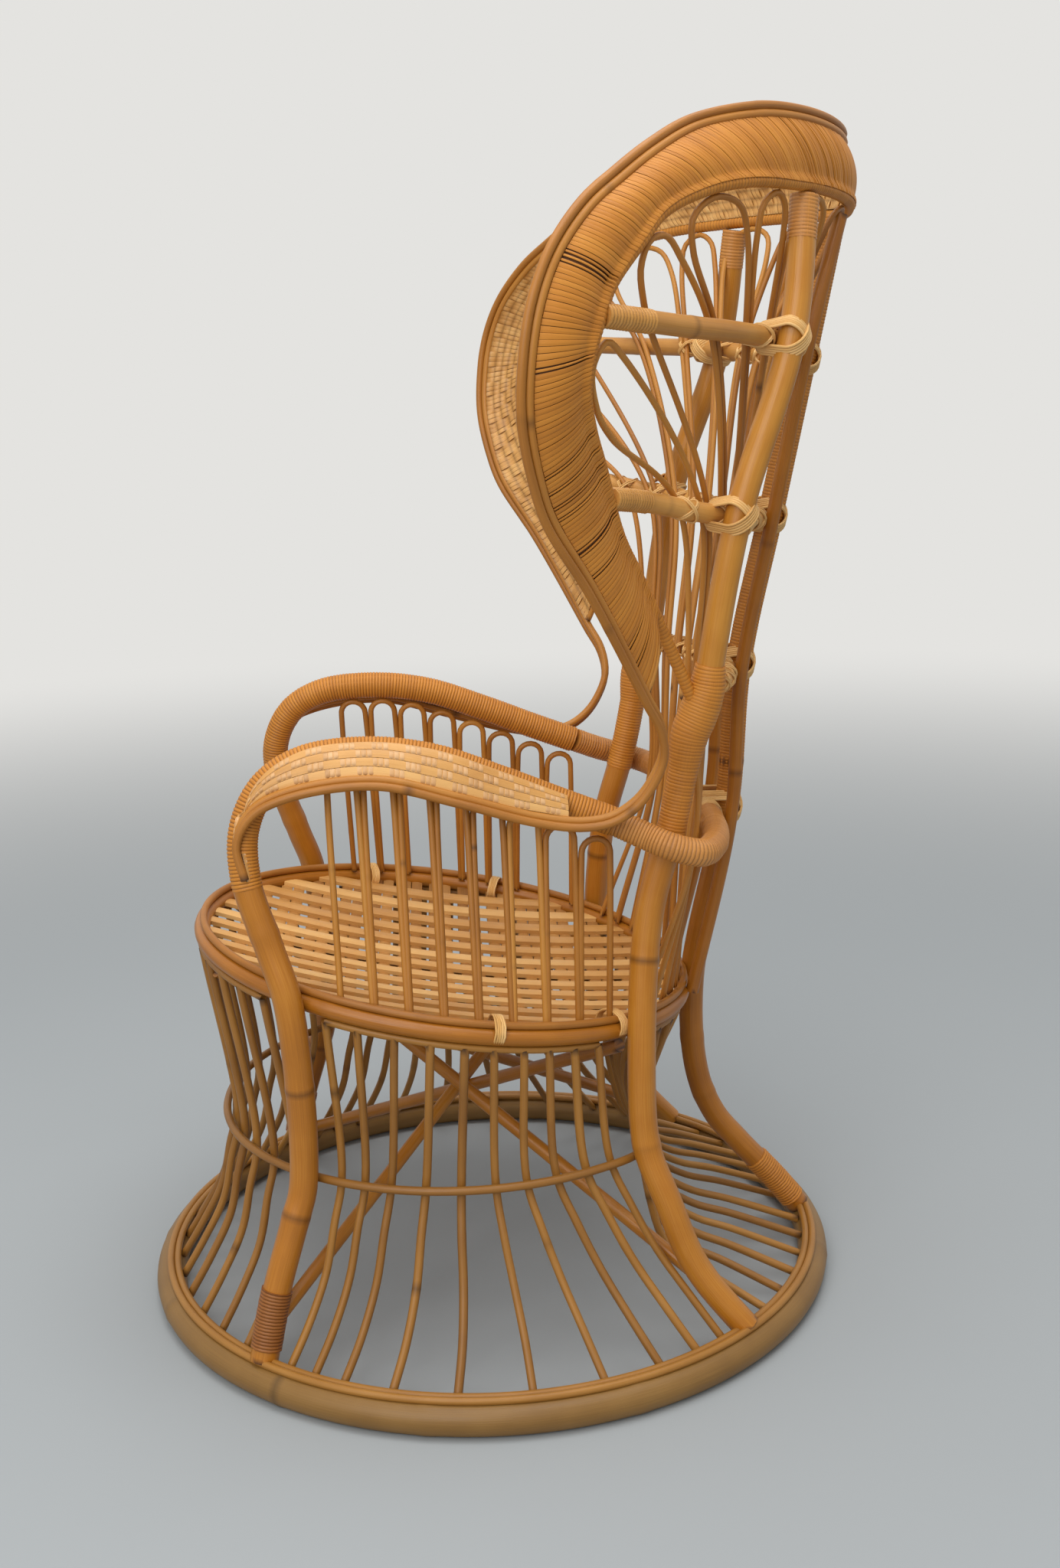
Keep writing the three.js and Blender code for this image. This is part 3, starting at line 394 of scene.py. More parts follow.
pole_finish = cane_finish("varnished_pole", (216, 156, 66), (178, 112, 28), (124, 68, 12), 0.32, 0.7)
# The floor ring gets darker, duller colours than the poles: painted shade for a ring that faces sideways,
# away from the top light.
ring_painted_shade = cane_finish("floor_ring_pole", (160, 122, 66), (134, 98, 46), (94, 62, 24), 0.42, 0.5)
rib_finish = cane_finish("rib_pole", (232, 178, 104), (206, 148, 72), (152, 96, 38), 0.42, 0.5)
cane_skin = cane_finish("split_cane", (206, 148, 66), (178, 116, 40), (122, 70, 18), 0.45, 0.5)
weave_finish = cane_finish("woven_strip", (216, 148, 58), (196, 126, 40), (150, 88, 22), 0.5, 0.4)
# The arm weave's paler, pinker colours are a painted highlight, standing for sky reflection on the arm bands.
arm_painted_highlight = cane_finish("arm_weave_painted_highlight", (238, 196, 146), (214, 166, 112), (158, 108, 58), 0.38, 0.5)
rail_finish = cane_finish("rail_wrap", (222, 160, 90), (196, 132, 62), (132, 78, 26), 0.42, 0.5)
# The skirt canes, the waist hoop and the floor beads get darker colours: painted shade for the low parts
# under the seat.
skirt_painted_shade = cane_finish("skirt_cane", (190, 138, 66), (158, 108, 42), (108, 66, 20), 0.42, 0.5)
slat_finish = cane_finish("seat_slat", (238, 194, 126), (212, 158, 88), (160, 104, 44), 0.4, 0.5)
# The cross canes and strands get darker colours than the slats: painted shade for canes lying under the slats
# and strips.
cross_painted_shade = cane_finish("cross_cane", (206, 156, 92), (172, 120, 60), (120, 74, 30), 0.5, 0.5)
wrap_finish = cane_finish("foot_wrap", (170, 108, 46), (138, 82, 30), (92, 50, 16), 0.45, 0.4)
binding_finish = cane_finish("binding_strip", (242, 204, 144), (220, 172, 102), (160, 104, 44), 0.5, 0.6)
# Near-black colours for the sheet inside each woven band: painted shade seen through the gaps of the weave.
core_painted_shade = cane_finish("band_painted_shade", (104, 60, 20), (82, 46, 14), (54, 28, 8), 0.6, 0.4)

# The main lines.
FOOT_IN = -0.5 * LEG
ARM_SHARES = [
    (0.612, -0.556, 0.368), (0.588, -0.606, 0.423), (0.56, -0.605, 0.463), (0.536, -0.55, 0.495),
    (0.52, -0.45, 0.513), (0.513, -0.287, 0.5175), (0.519, -0.125, 0.51), (0.526, 0.04, 0.491),
    (0.533, 0.2, 0.47), (0.541, 0.33, 0.4535),
]
FRONT_LEG_ANGLES, REAR_LEG_ANGLES = (-42.5, -36.5, -33), (43.5, 38.2, 42)
FRONT_LEG_SHARES = [(0.655, -0.595, 0.078), (0.62, -0.537, 0.136)]
REAR_LEG_SHARES = [(0.64, 0.512, 0.078), (0.612, 0.43, 0.15)]
REAR_TOP_SHARES = [(0.515, 0.425, 0.38), (0.505, 0.475, 0.43), (0.506, 0.52, 0.494), (0.512, 0.543, 0.536)]


def leg_start(angles, shares):
    """A leg's way up from the floor ring, past the waist hoop to the seat ring."""
    floor, waist, seat = (angle * DEGREE for angle in angles)
    return [on_ring(FLOOR_RING, floor, FOOT_IN, FLOOR_POLE), *spots(shares),
            on_ring(WAIST_RING, waist, WAIST_CANE + LEG + GAP),
            on_ring(SEAT_RING, seat, SEAT_POLE + LEG + GAP)]


front_leg = bow(leg_start(FRONT_LEG_ANGLES, FRONT_LEG_SHARES) + spots(ARM_SHARES))
rear_leg = eased(leg_start(REAR_LEG_ANGLES, REAR_LEG_SHARES) + spots(REAR_TOP_SHARES))
RAIL_SHARES = [
    (0.5417, 0.3365, 0.4528), (0.568, 0.41, 0.4425), (0.594, 0.475, 0.4345), (0.578, 0.548, 0.4275),
    (0.475, 0.6, 0.4245), (0.3, 0.636, 0.4225), (0.15, 0.648, 0.422), (0, 0.65, 0.4215),
]
LOW_SHARES = [
    (0.5, 0.53, 0.552), (0.42, 0.6, 0.552), (0.3, 0.66, 0.552), (0.15, 0.692, 0.552), (0, 0.7, 0.552),
]
MID_SHARES = [
    (0.765, 0.312, 0.7125), (0.69, 0.372, 0.7095), (0.62, 0.44, 0.705), (0.56, 0.53, 0.698),
    (0.495, 0.617, 0.692), (0.35, 0.717, 0.685), (0.17, 0.775, 0.681), (0, 0.79, 0.68),
]
TOP_SHARES = [
    (0.942, 0.282, 0.839), (0.835, 0.405, 0.835), (0.75, 0.5, 0.832), (0.64, 0.62, 0.829),
    (0.47, 0.745, 0.825), (0.3, 0.83, 0.819), (0.15, 0.871, 0.815), (0, 0.882, 0.813),
]
arm_rail, low_rib, mid_rib, top_rib = (
    bow(both_sides(spots(shares))) for shares in (RAIL_SHARES, LOW_SHARES, MID_SHARES, TOP_SHARES))
RIB_REACH = 0.01
RAIL_REACH = 0.015
POST_SADDLE = 0.007
post_reach = RIB_REACH + CENTRE_POST + GAP
centre_post = bow([
    on_ring(FLOOR_RING, 90 * DEGREE, FOOT_IN, FLOOR_POLE),
    *spots([(0, 0.865, 0.055), (0, 0.75, 0.0965), (0, 0.68, 0.125), (0, 0.6285, 0.1685)]),
    on_ring(SEAT_RING, 90 * DEGREE, SEAT_POLE + CENTRE_POST - POST_SADDLE),
    beside(arm_rail, 0, RAIL_REACH + CENTRE_POST + GAP), beside(low_rib, 0, post_reach),
    beside(mid_rib, 0, post_reach), beside(top_rib, 0, post_reach), spot((0, 1.02, 0.926))])
UPPER_POST_MID, UPPER_POST_TOP = 0.5 * BASE_RADIUS, 0.47 * BASE_RADIUS
upper_post = bow([
    spot((0.512, 0.565, 0.534)), beside(mid_rib, UPPER_POST_MID, post_reach),
    beside(top_rib, UPPER_POST_TOP, post_reach), spot((0.452, 0.838, 0.929))])
inner_reach = RIB_REACH + INNER_POST + GAP
inner_post = bow([
    on_ring(SEAT_RING, 76 * DEGREE, BEAD + INNER_POST + GAP, 0.4 * SEAT_POLE),
    beside(arm_rail, 0.16 * BASE_RADIUS, RAIL_REACH + INNER_POST + GAP),
    beside(low_rib, 0.16 * BASE_RADIUS, inner_reach), beside(mid_rib, 0.21 * BASE_RADIUS, inner_reach),
    beside(top_rib, 0.25 * BASE_RADIUS, inner_reach), spot((0.24, 0.98, 0.921))])
ARM_RIM_SHARES = [
    (0.632, -0.605, 0.425), (0.622, -0.622, 0.452), (0.622, -0.58, 0.4745), (0.628, -0.48, 0.489),
    (0.632, -0.268, 0.495), (0.63, -0.065, 0.478), (0.63, 0.125, 0.46), (0.633, 0.243, 0.4545),
    (0.636, 0.32, 0.458), (0.64, 0.38, 0.47), (0.645, 0.423, 0.488),
]
HOOD_RIM_SHARES = [
    (0.655, 0.448, 0.5095), (0.675, 0.436, 0.5321), (0.71, 0.399, 0.5535), (0.79, 0.314, 0.6051),
    (0.862, 0.24, 0.648), (0.945, 0.142, 0.6974), (0.987, 0.111, 0.7257), (1.027, 0.086, 0.7661),
    (1.045, 0.087, 0.8009), (1.045, 0.109, 0.8447), (1.013, 0.155, 0.8812), (0.94, 0.232, 0.9139),
    (0.872, 0.31, 0.9348), (0.788, 0.405, 0.9569), (0.685, 0.518, 0.9772), (0.56, 0.692, 0.9913),
    (0.412, 0.84, 0.9945), (0.22, 0.97, 0.993), (0, 1.035, 0.9905),
]
HOOD_INNER_SHARES = [
    (0.53, 0.54, 0.548), (0.555, 0.49, 0.584), (0.6, 0.43, 0.6243), (0.65, 0.383, 0.6547),
    (0.72, 0.335, 0.6844), (0.82, 0.285, 0.735), (0.895, 0.253, 0.7654), (0.945, 0.24, 0.7904),
    (0.96, 0.25, 0.814), (0.955, 0.268, 0.832), (0.925, 0.3, 0.8574), (0.875, 0.375, 0.8878),
    (0.825, 0.435, 0.9088), (0.735, 0.55, 0.926), (0.64, 0.67, 0.934), (0.5, 0.81, 0.936),
    (0.35, 0.93, 0.935), (0.18, 1.015, 0.932), (0, 1.045, 0.928),
]


def rim_points(distance):
    """The rim line moved inwards, from the left arm over the hood to the middle."""
    inward = Vector((-1, 0, 0.75)).normalized()
    moved = [p + inward * distance for p in spots(ARM_RIM_SHARES)]
    for i, (rim, inner) in enumerate(zip(spots(HOOD_RIM_SHARES), spots(HOOD_INNER_SHARES))):
        way = (inner - rim).normalized().lerp(inward, 1 - min(1, i / 3)).normalized()
        moved.append(rim + way * distance)
    return moved


def hood_edge_points(distance):
    """The hood pole's line moved outwards, towards the rim."""
    return [inner + (rim - inner).normalized() * distance
            for rim, inner in zip(spots(HOOD_RIM_SHARES), spots(HOOD_INNER_SHARES))]


hood_line = bow(both_sides(spots(HOOD_INNER_SHARES)))


# Rings, and the beads along them.
SEAT_BEAD_RISE = 0.0128
FLOOR_BEADS = (("floor_bead_top", 0, 0.0197, "floor_bead_outer"),
               ("floor_bead_side", -0.0079, 0.0192, "floor_bead_inner"))


def floor_ring():
    ring = bend(hoop(FLOOR_RING, count=300), FLOOR_POLE, 20, closed=True, tone=0.5,
                nodes=(0.055, 0.21, 0.335, 0.47, 0.62, 0.735, 0.81, 0.9, 0.968))
    for corner in ring.data.vertices:
        corner.co.z = max(corner.co.z, 0)
    return ring


hand_over("floor_ring_pole", [floor_ring()], ring_painted_shade, "pole", "floor_ring")
for name, out, rise, node in FLOOR_BEADS:
    hand_over(name, [bend(hoop(FLOOR_RING, out, rise), BEAD, 10, closed=True)], skirt_painted_shade, "cane", node)
seat_pole = bend(hoop(SEAT_RING), SEAT_POLE, 16, closed=True, nodes=(0.12, 0.4, 0.66, 0.93))
hand_over("seat_ring_pole", [seat_pole], pole_finish, "pole", "seat_ring")
hand_over("seat_ring_bead", [bend(hoop(SEAT_RING, 0, SEAT_BEAD_RISE), BEAD, 10, closed=True)],
          cane_skin, "cane", "seat_bead")
hand_over("waist_hoop", [bend(waist_hoop, WAIST_CANE, 10, closed=True)], skirt_painted_shade, "cane", "waist_ring")

# Legs and posts, each with the places of its nodes.
for name, line, radius, sides, nodes in (
        ("front_leg", front_leg, LEG, 14, (0.155, 0.3, 0.47)), ("rear_leg", rear_leg, LEG, 14, (0.33, 0.62)),
        ("upper_post", upper_post, UPPER_POST, 14, (0.42, 0.75)),
        ("inner_post", inner_post, INNER_POST, 12, (0.3, 0.6))):
    pair(f"{name}_pole", lambda turn: [bend(turn(even(line, STEP)), radius, sides, nodes=nodes)],
         pole_finish, "pole", name)
hand_over("centre_post_pole", [bend(even(centre_post, STEP), CENTRE_POST, 14, nodes=(0.16, 0.22, 0.5))],
          pole_finish, "pole", "centre_post")

# Ribs, wrapped rail and wrapped hood pole.
ARM_PROUD, HOOD_PROUD, HOOD_WRAP_WIDTH = 0.0008, 0.0004, 0.0044
for name, line, nodes in (("low_rib", low_rib, (0.3, 0.8)), ("mid_rib", mid_rib, (0.12, 0.55, 0.9)),
                          ("top_rib", top_rib, (0.13, 0.4, 0.83))):
    hand_over(f"{name}_pole", [bend(even(line, STEP), RIB, 12, nodes=nodes)], rib_finish, "pole", name)
hand_over("arm_rail_wrapped", [wound(arm_rail, RAIL - ARM_PROUD, ARM_PROUD, groove_shade=0.5)],
          rail_finish, "weave", "arm_rail")
hood_wrap = wound(hood_line, HOOD_POLE - HOOD_PROUD / 2, HOOD_PROUD, HOOD_WRAP_WIDTH, 10)
hand_over("hood_pole_wrapped", [hood_wrap], weave_finish, "weave", "hood_pole")

# Wrapped stretches of the arm, the rear leg, the centre post and the feet.
WRAP_LIFT = 0.0002
CUFF_LIFT, CUFF_PROUD = 0.0008, 0.0012
FRONT_CUFF = (0.042, 0.105)
CENTRE_CUFF = (0.8 * BASE_RADIUS + MIDDLE_Y, 0.925 * BASE_RADIUS + MIDDLE_Y)
arm_stretch = between(front_leg, 2, 0.415 * OVERALL_HEIGHT)
rear_stretch = between(rear_leg, 2, 0.425 * OVERALL_HEIGHT)
cuff_stretch = between(front_leg, 2, *FRONT_CUFF)
centre_stretch = between(centre_post, 2, 0.39 * OVERALL_HEIGHT)
centre_foot = between([p for p in centre_post if p.z < 0.2 * OVERALL_HEIGHT], 1, *CENTRE_CUFF)
pair("arm_pole_wrap", lambda turn: [wound(turn(arm_stretch), LEG + WRAP_LIFT, ARM_PROUD, groove_shade=0.6)],
     weave_finish, "weave")
pair("rear_leg_wrap", lambda turn: [wound(turn(rear_stretch), LEG + WRAP_LIFT)], weave_finish, "weave")
pair("foot_cuff", lambda turn: [wound(turn(cuff_stretch), LEG + CUFF_LIFT, CUFF_PROUD)],
     wrap_finish, "dark_wrap", "foot_wrap_front")
hand_over("centre_post_wrap", [wound(centre_stretch, CENTRE_POST + WRAP_LIFT / 2)], weave_finish, "weave")
hand_over("centre_foot_cuff", [wound(centre_foot, CENTRE_POST + CUFF_LIFT, CUFF_PROUD)],
          weave_finish, "weave")


def first_part(line, reach):
    """The start of a line, as far along it as the reach."""
    return [p for p, run in zip(line, run_of(line)) if run <= reach]


RIB_WRAP, RIB_PROUD, RIB_WRAP_WIDTH = 0.065, 0.0009, 0.0042
POST_WRAP = 0.05
JOINT_RADIUS, JOINT_SWELL = 0.0153, 0.0052
JOINT_LOW, JOINT_HIGH = (0.492, 0.52), (0.556, 0.576)
joint = bow([*[where(rear_leg, 2, share * OVERALL_HEIGHT) for share in JOINT_LOW],
             rear_leg[-1].lerp(upper_post[0], 0.5),
             *[where(upper_post, 2, share * OVERALL_HEIGHT) for share in JOINT_HIGH]])
post_top = first_part(upper_post[::-1], POST_WRAP)
pair("post_joint_wrap", lambda turn: [wound(turn(joint), JOINT_RADIUS, swell=JOINT_SWELL, sides=14)],
     weave_finish, "weave")
pair("rib_end_wraps", lambda turn: [
    wound(turn(first_part(rib, RIB_WRAP)), RIB + WRAP_LIFT, RIB_PROUD, RIB_WRAP_WIDTH)
    for rib in (mid_rib, top_rib)], rib_finish, "weave")
pair("upper_post_wrap", lambda turn: [wound(turn(post_top), UPPER_POST + WRAP_LIFT)], rail_finish, "weave")

# Rim canes, side by side and touching.
RIM_TOUCH = RIM_CANE + 2 * GAP
RIM_SECOND = 3 * RIM_CANE + 4 * GAP
for name, distance, node in (("rim_cane_first", RIM_CANE, "rim_cane_outer"),
                             ("rim_cane_second", RIM_SECOND, "rim_cane_inner")):
    rim = even(bow(both_sides(rim_points(distance))), 0.008)
    rim_cane = bend(rim, RIM_TOUCH, 10, nodes=[0.07 * i for i in range(1, 14)])
    hand_over(name, [rim_cane], cane_skin, "cane", node)


# Weave: laid flat first, then bent on to its band.
class Band:
    """The curved strip of space between two edge lines that a weave is laid on."""

    def __init__(self, first, second, crown, outside):
        self.first = np.array([tuple(p) for p in first])
        self.second = np.array([tuple(p) for p in second])
        middle = (self.first + self.second) / 2
        self.run = np.concatenate([[0], np.cumsum(np.linalg.norm(np.diff(middle, axis=0), axis=1))])
        self.length = self.run[-1]
        self.width = float(np.linalg.norm(self.second - self.first, axis=1).mean())
        self.crown = crown
        along = np.gradient(middle, axis=0)
        out = np.cross(along, self.second - self.first)
        out /= np.linalg.norm(out, axis=1)[:, None]
        hints = np.array([outside(p) for p in middle])
        self.out = out * np.where((out * hints).sum(axis=1) < 0, -1, 1)[:, None]

    def at(self, flat):
        """Places on the band for rows of run along it, share across it and height over it."""
        def read(rows):
            return np.stack([np.interp(flat[:, 0], self.run, rows[:, i]) for i in range(3)], axis=1)
        across = flat[:, 1:2]
        out = read(self.out)
        out /= np.linalg.norm(out, axis=1)[:, None]
        arch = 4 * across * (1 - across) * self.crown + flat[:, 2:3]
        return read(self.first) * (1 - across) + read(self.second) * across + out * arch


def sheet(cuts, x=0.0, y=0.0):
    """A flat sheet one metre square with its middle at x and y, cut across both ways."""
    clear_bench()
    place = (x, y, 0)
    bpy.ops.mesh.primitive_grid_add(x_subdivisions=cuts[0], y_subdivisions=cuts[1], size=1, location=place)
    bpy.ops.object.transform_apply(location=True)
    return bpy.context.object


def resize(x, y):
    """Makes the sheet on the bench wider and longer."""
    bpy.ops.object.mode_set(mode="EDIT")
    bpy.ops.mesh.select_all(action="SELECT")
    bpy.ops.transform.resize(value=(x, y, 1), center_override=(0, 0, 0))
    bpy.ops.object.mode_set(mode="OBJECT")


def thicken(piece, thick, offset=0):
    """Gives a sheet its thickness, half of it on either side, or all on one with an offset of -1."""
    solid = piece.modifiers.new("thickness", "SOLIDIFY")
    solid.thickness = thick
    solid.offset = offset
    bpy.ops.object.modifier_apply(modifier=solid.name)


def places_of(mesh):
    places = np.empty(len(mesh.vertices) * 3)
    mesh.vertices.foreach_get("co", places)
    return places.reshape(-1, 3)


def lay_grain(mesh, grain):
    """Gives each corner of a mesh its place on the grain, along it and across it."""
    corners = np.empty(len(mesh.loops), np.int32)
    mesh.loops.foreach_get("vertex_index", corners)
    mesh.uv_layers[0].data.foreach_set("uv", grain[corners].astype(np.float32).ravel())


def lay_strips(band, width, pitch, thick, cuts, crown, height, shape, dip_shade=0.0, narrow=0.0):
    """Lays strip after strip across a band. The shape gives each place its rise; where a strip passes between
    the long strands it is darkened with painted shade.
    """
    strip = sheet((2, cuts), y=0.5)
    resize(width, 1)
    for corner in strip.data.vertices:
        corner.co.z = crown * (1 - abs(corner.co.x) / (width / 2))
    thicken(strip, thick, -1)
    count = int(band.length / pitch)
    each = len(strip.data.vertices)
    row = strip.modifiers.new("row", "ARRAY")
    row.use_relative_offset = False
    row.use_constant_offset = True
    row.constant_offset_displace = (pitch, 0, 0)
    row.count = count
    bpy.ops.object.modifier_apply(modifier=row.name)
    flat = places_of(strip.data)
    which = np.arange(len(flat)) // each
    dice = np.random.RandomState(count)
    along = flat[:, 1] * band.width + dice.random_sample(count)[which] * 9
    lay_grain(strip.data, np.stack([along, flat[:, 0]], axis=1))
    share = flat[:, 1].copy()
    room = pitch - width
    slip = (dice.random_sample(count) - 0.5) * room * 0.9
    lean = (dice.random_sample(count) - 0.5) * room * 0.8
    thin = np.where(dice.random_sample(count) < narrow, 0.5, 1.0)[which]
    middle = which * pitch
    flat[:, 0] = middle + (flat[:, 0] - middle) * thin
    flat[:, 0] += pitch / 2 + slip[which] + lean[which] * (share - 0.5)
    rise = shape(which, share)
    # Painted shade: each strip is darkened where it passes between the long strands, in the gaps of the
    # weave.
    low = dip_shade * (1 - np.abs(rise) / max(np.abs(rise).max(), 1e-6))
    flat[:, 2] += height + rise + ((dice.random_sample(count) - 0.5) * thick * 0.3)[which]
    strip.data.vertices.foreach_set("co", band.at(flat).ravel())
    colour_of(strip, (0.3 + 0.4 * dice.random_sample(count))[which], low)
    return [strip]


BASKET_WIDTH, BASKET_PITCH, BASKET_THICK, BASKET_CUTS = 0.0046, 0.0054, 0.0008, 24
STRAND_SHARE = 0.93


def basket(size, rows):
    """Rise of each strip over or under the long strands, three strips at a time."""
    def rise(which, share):
        row = np.floor(share * rows)
        over = np.where((which // 3 + row) % 2 == 0, 1.0, -1.0)
        inside = np.sin(np.pi * (share * rows - row))
        return size * over * np.sqrt(np.clip(inside, 0, 1))
    return rise


def lay_strands(band, rows, height):
    """Long flat strands that run the length of the band, one to a row of its basket weave."""
    strands = []
    width = band.width / rows * STRAND_SHARE
    for k in range(rows):
        strand = sheet((int(band.length / STEP), 2), x=0.5)
        flat = places_of(strand.data)
        flat[:, 0] *= band.length
        flat[:, 2] = height + BASKET_THICK * (1 - 1.4 * np.abs(flat[:, 1]))
        lay_grain(strand.data, np.stack([flat[:, 0] + k, flat[:, 1] * width], axis=1))
        flat[:, 1] = (k + 0.5) / rows + flat[:, 1] * width / band.width
        strand.data.vertices.foreach_set("co", band.at(flat).ravel())
        thicken(strand, BASKET_THICK)
        colour_of(strand, 0.3 + 0.4 * chance.random())
        strands.append(strand)
    return strands


def painted_shade_sheet(band, half):
    """A dark sheet inside a woven band: painted shade, seen only through the gaps between its strips."""
    shade_layer = sheet((int(band.length / 0.01), 6), 0.5, 0.5)
    flat = places_of(shade_layer.data)
    flat[:, 0] *= band.length
    flat[:, 2] = half
    shade_layer.data.vertices.foreach_set("co", band.at(flat).ravel())
    thicken(shade_layer, 2 * half)
    colour_of(shade_layer, 0.5)
    return [shade_layer]


# Hood band: single strips outside, over the hood pole, and a basket weave inside.
BAND_FIRST = 2
HOOD_ROWS = 6
HOOD_CROWN, HOOD_SHADE_HALF = 0.008, 0.0004
STRIP_WIDTH, STRIP_PITCH, STRIP_THICK, STRIP_CUTS = 0.0041, 0.0044, 0.0007, 18
STRIP_CROWN, STRIP_UNEVEN = 0.0005, 0.0002
OUTSIDE_HEIGHT, INSIDE_HEIGHT, INSIDE_RISE = 0.0024, -0.0026, 0.001
POLE_FROM, OVER_POLE = 0.84, HOOD_POLE - 0.0016
BAND_EDGE = RIM_SECOND + RIM_CANE + GAP
rim_edge = bow(both_sides(rim_points(BAND_EDGE)[len(ARM_RIM_SHARES) + BAND_FIRST:]))


def band_to(distance):
    """The hood's band from the rim canes to a line so far from the hood pole's."""
    inner_edge = bow(both_sides(hood_edge_points(distance)[BAND_FIRST:]))
    return Band(rim_edge, inner_edge, HOOD_CROWN, lambda p: (p[0], 0.16, 0.08))


def outside_rise(which, share):
    """Each strip lies a little higher or lower, and goes over the hood pole at its inner end."""
    near = np.clip((share - POLE_FROM) / (1 - POLE_FROM), 0, 1)
    return STRIP_UNEVEN * np.sin(which * 1.7 + share * 3) + OVER_POLE * near * near * (3 - 2 * near)


hood_band = band_to(HOOD_POLE + 2 * GAP)
# Inside the hood band lies a near-black sheet of painted shade, seen through the gaps of the weave.
hand_over("hood_band_painted_shade", painted_shade_sheet(hood_band, HOOD_SHADE_HALF), core_painted_shade, "weave", "hood_band")
hand_over("hood_band_outside", lay_strips(
    band_to(0), STRIP_WIDTH, STRIP_PITCH, STRIP_THICK, STRIP_CUTS, STRIP_CROWN, OUTSIDE_HEIGHT,
    outside_rise, narrow=0.09), weave_finish, "weave")
hand_over("hood_band_inside", lay_strips(
    hood_band, BASKET_WIDTH, BASKET_PITCH, BASKET_THICK, BASKET_CUTS, -STRIP_CROWN, INSIDE_HEIGHT,
    basket(INSIDE_RISE, HOOD_ROWS), 0.45), slat_finish, "weave")
hand_over("hood_band_strands", lay_strands(hood_band, HOOD_ROWS, INSIDE_HEIGHT), cross_painted_shade, "weave")

# A cane closes the band at each end.
END_CANE, END_IN = 0.0034, 0.001
band_ends = []
for run in (END_IN, hood_band.length - END_IN):
    rows = np.array([(run, share, 0) for share in np.linspace(0.01, 0.99, 13)])
    band_ends.append(bend([Vector(p) for p in hood_band.at(rows)], END_CANE, 8))
hand_over("hood_band_ends", band_ends, cane_skin, "cane")

# Arm bands.
ARM_FIRST, ARM_LAST = 1, 8
ARM_ROWS = 4
ARM_CROWN, ARM_SHADE_HALF, ARM_HEIGHT = 0.003, 0.0003, 0.0014
ARM_EDGE = LEG + 0.0012
arm_points = spots(ARM_SHARES)
arm_inner = []
for i in range(ARM_FIRST, ARM_LAST + 1):
    along = (arm_points[i + 1] - arm_points[i - 1]).normalized()
    lift = Vector((1, 0, 1))
    lift = (lift - along * lift.dot(along)).normalized()
    arm_inner.append(arm_points[i] + lift * ARM_EDGE)
arm_rim_line = bow(rim_points(BAND_EDGE)[:len(ARM_RIM_SHARES)])
arm_outer = [min(arm_rim_line, key=lambda q: (q - p).length + 0.2 * abs(q.y - p.y)) for p in arm_inner]

for side, turn in SIDES:
    outward = tuple(turn([Vector((0.5, 0, 1))])[0])
    band = Band(turn(bow(arm_outer)), turn(bow(arm_inner)), ARM_CROWN, lambda p: outward)
    # Inside each arm band lies a near-black sheet of painted shade.
    hand_over(f"arm_band_painted_shade_{side}", painted_shade_sheet(band, ARM_SHADE_HALF), core_painted_shade, "weave", f"arm_band_{side}")
    hand_over(f"arm_band_basket_{side}", lay_strips(
        band, BASKET_WIDTH, BASKET_PITCH, BASKET_THICK, BASKET_CUTS, STRIP_CROWN, ARM_HEIGHT,
        basket(ARM_HEIGHT, ARM_ROWS), 0.5), arm_painted_highlight, "weave")
    hand_over(f"arm_band_strands_{side}", lay_strands(band, ARM_ROWS, ARM_HEIGHT), slat_finish, "weave")


# Seat: flat slats front to back over pairs of cross canes, hollowed like a shallow dish.
DECK_DISH = 0.025
DECK_DROP = 0.0075
SLAT_WIDTH, SLAT_THICK, SLAT_PITCH = 0.0195, 0.0045, 0.038
CROSS_WIDTH, CROSS_THICK, CROSS_PITCH, CROSS_TWIN = 0.0135, 0.0038, 0.0375, 0.0147
BATTEN_WIDTH = 0.008
CROWN = 0.0012
deck_reach = SEAT_RING[0] - SEAT_POLE
slat_rise = SEAT_POLE - DECK_DROP
cross_rise = slat_rise - (SLAT_THICK + CROSS_THICK) / 2 - 2 * GAP
batten_rise = cross_rise - CROSS_THICK - 2 * GAP
slat_count = int(deck_reach * 2 / SLAT_PITCH) - 1
cross_count = int(deck_reach * 2 / CROSS_PITCH) - 1


def deck_strip(centre, length, width, thick, long_way, tone):
    """A flat split cane with a low crown, sunk into the hollow of the seat."""
    strip = sheet((28, 4) if long_way == 0 else (4, 28))
    resize(*((length, width) if long_way == 0 else (width, length)))
    thicken(strip, thick)
    mesh = strip.data
    start = chance.random() * 6
    for loop, grain in zip(mesh.loops, mesh.uv_layers[0].data):
        place = mesh.vertices[loop.vertex_index].co
        grain.uv = (place[long_way] + start, place[1 - long_way] + place.z)
    for corner in mesh.vertices:
        edge = corner.co[1 - long_way] / (width / 2)
        x, y, z = corner.co + Vector(centre)
        z -= CROWN * edge ** 2 + DECK_DISH * (1 - min(1, math.hypot(x, y) / deck_reach) ** 2)
        corner.co = in_ring(SEAT_RING, x, y, z)
    colour_of(strip, tone)
    return strip


def chord(offset):
    return 2 * math.sqrt(SEAT_RING[0] ** 2 - offset ** 2) - SEAT_POLE


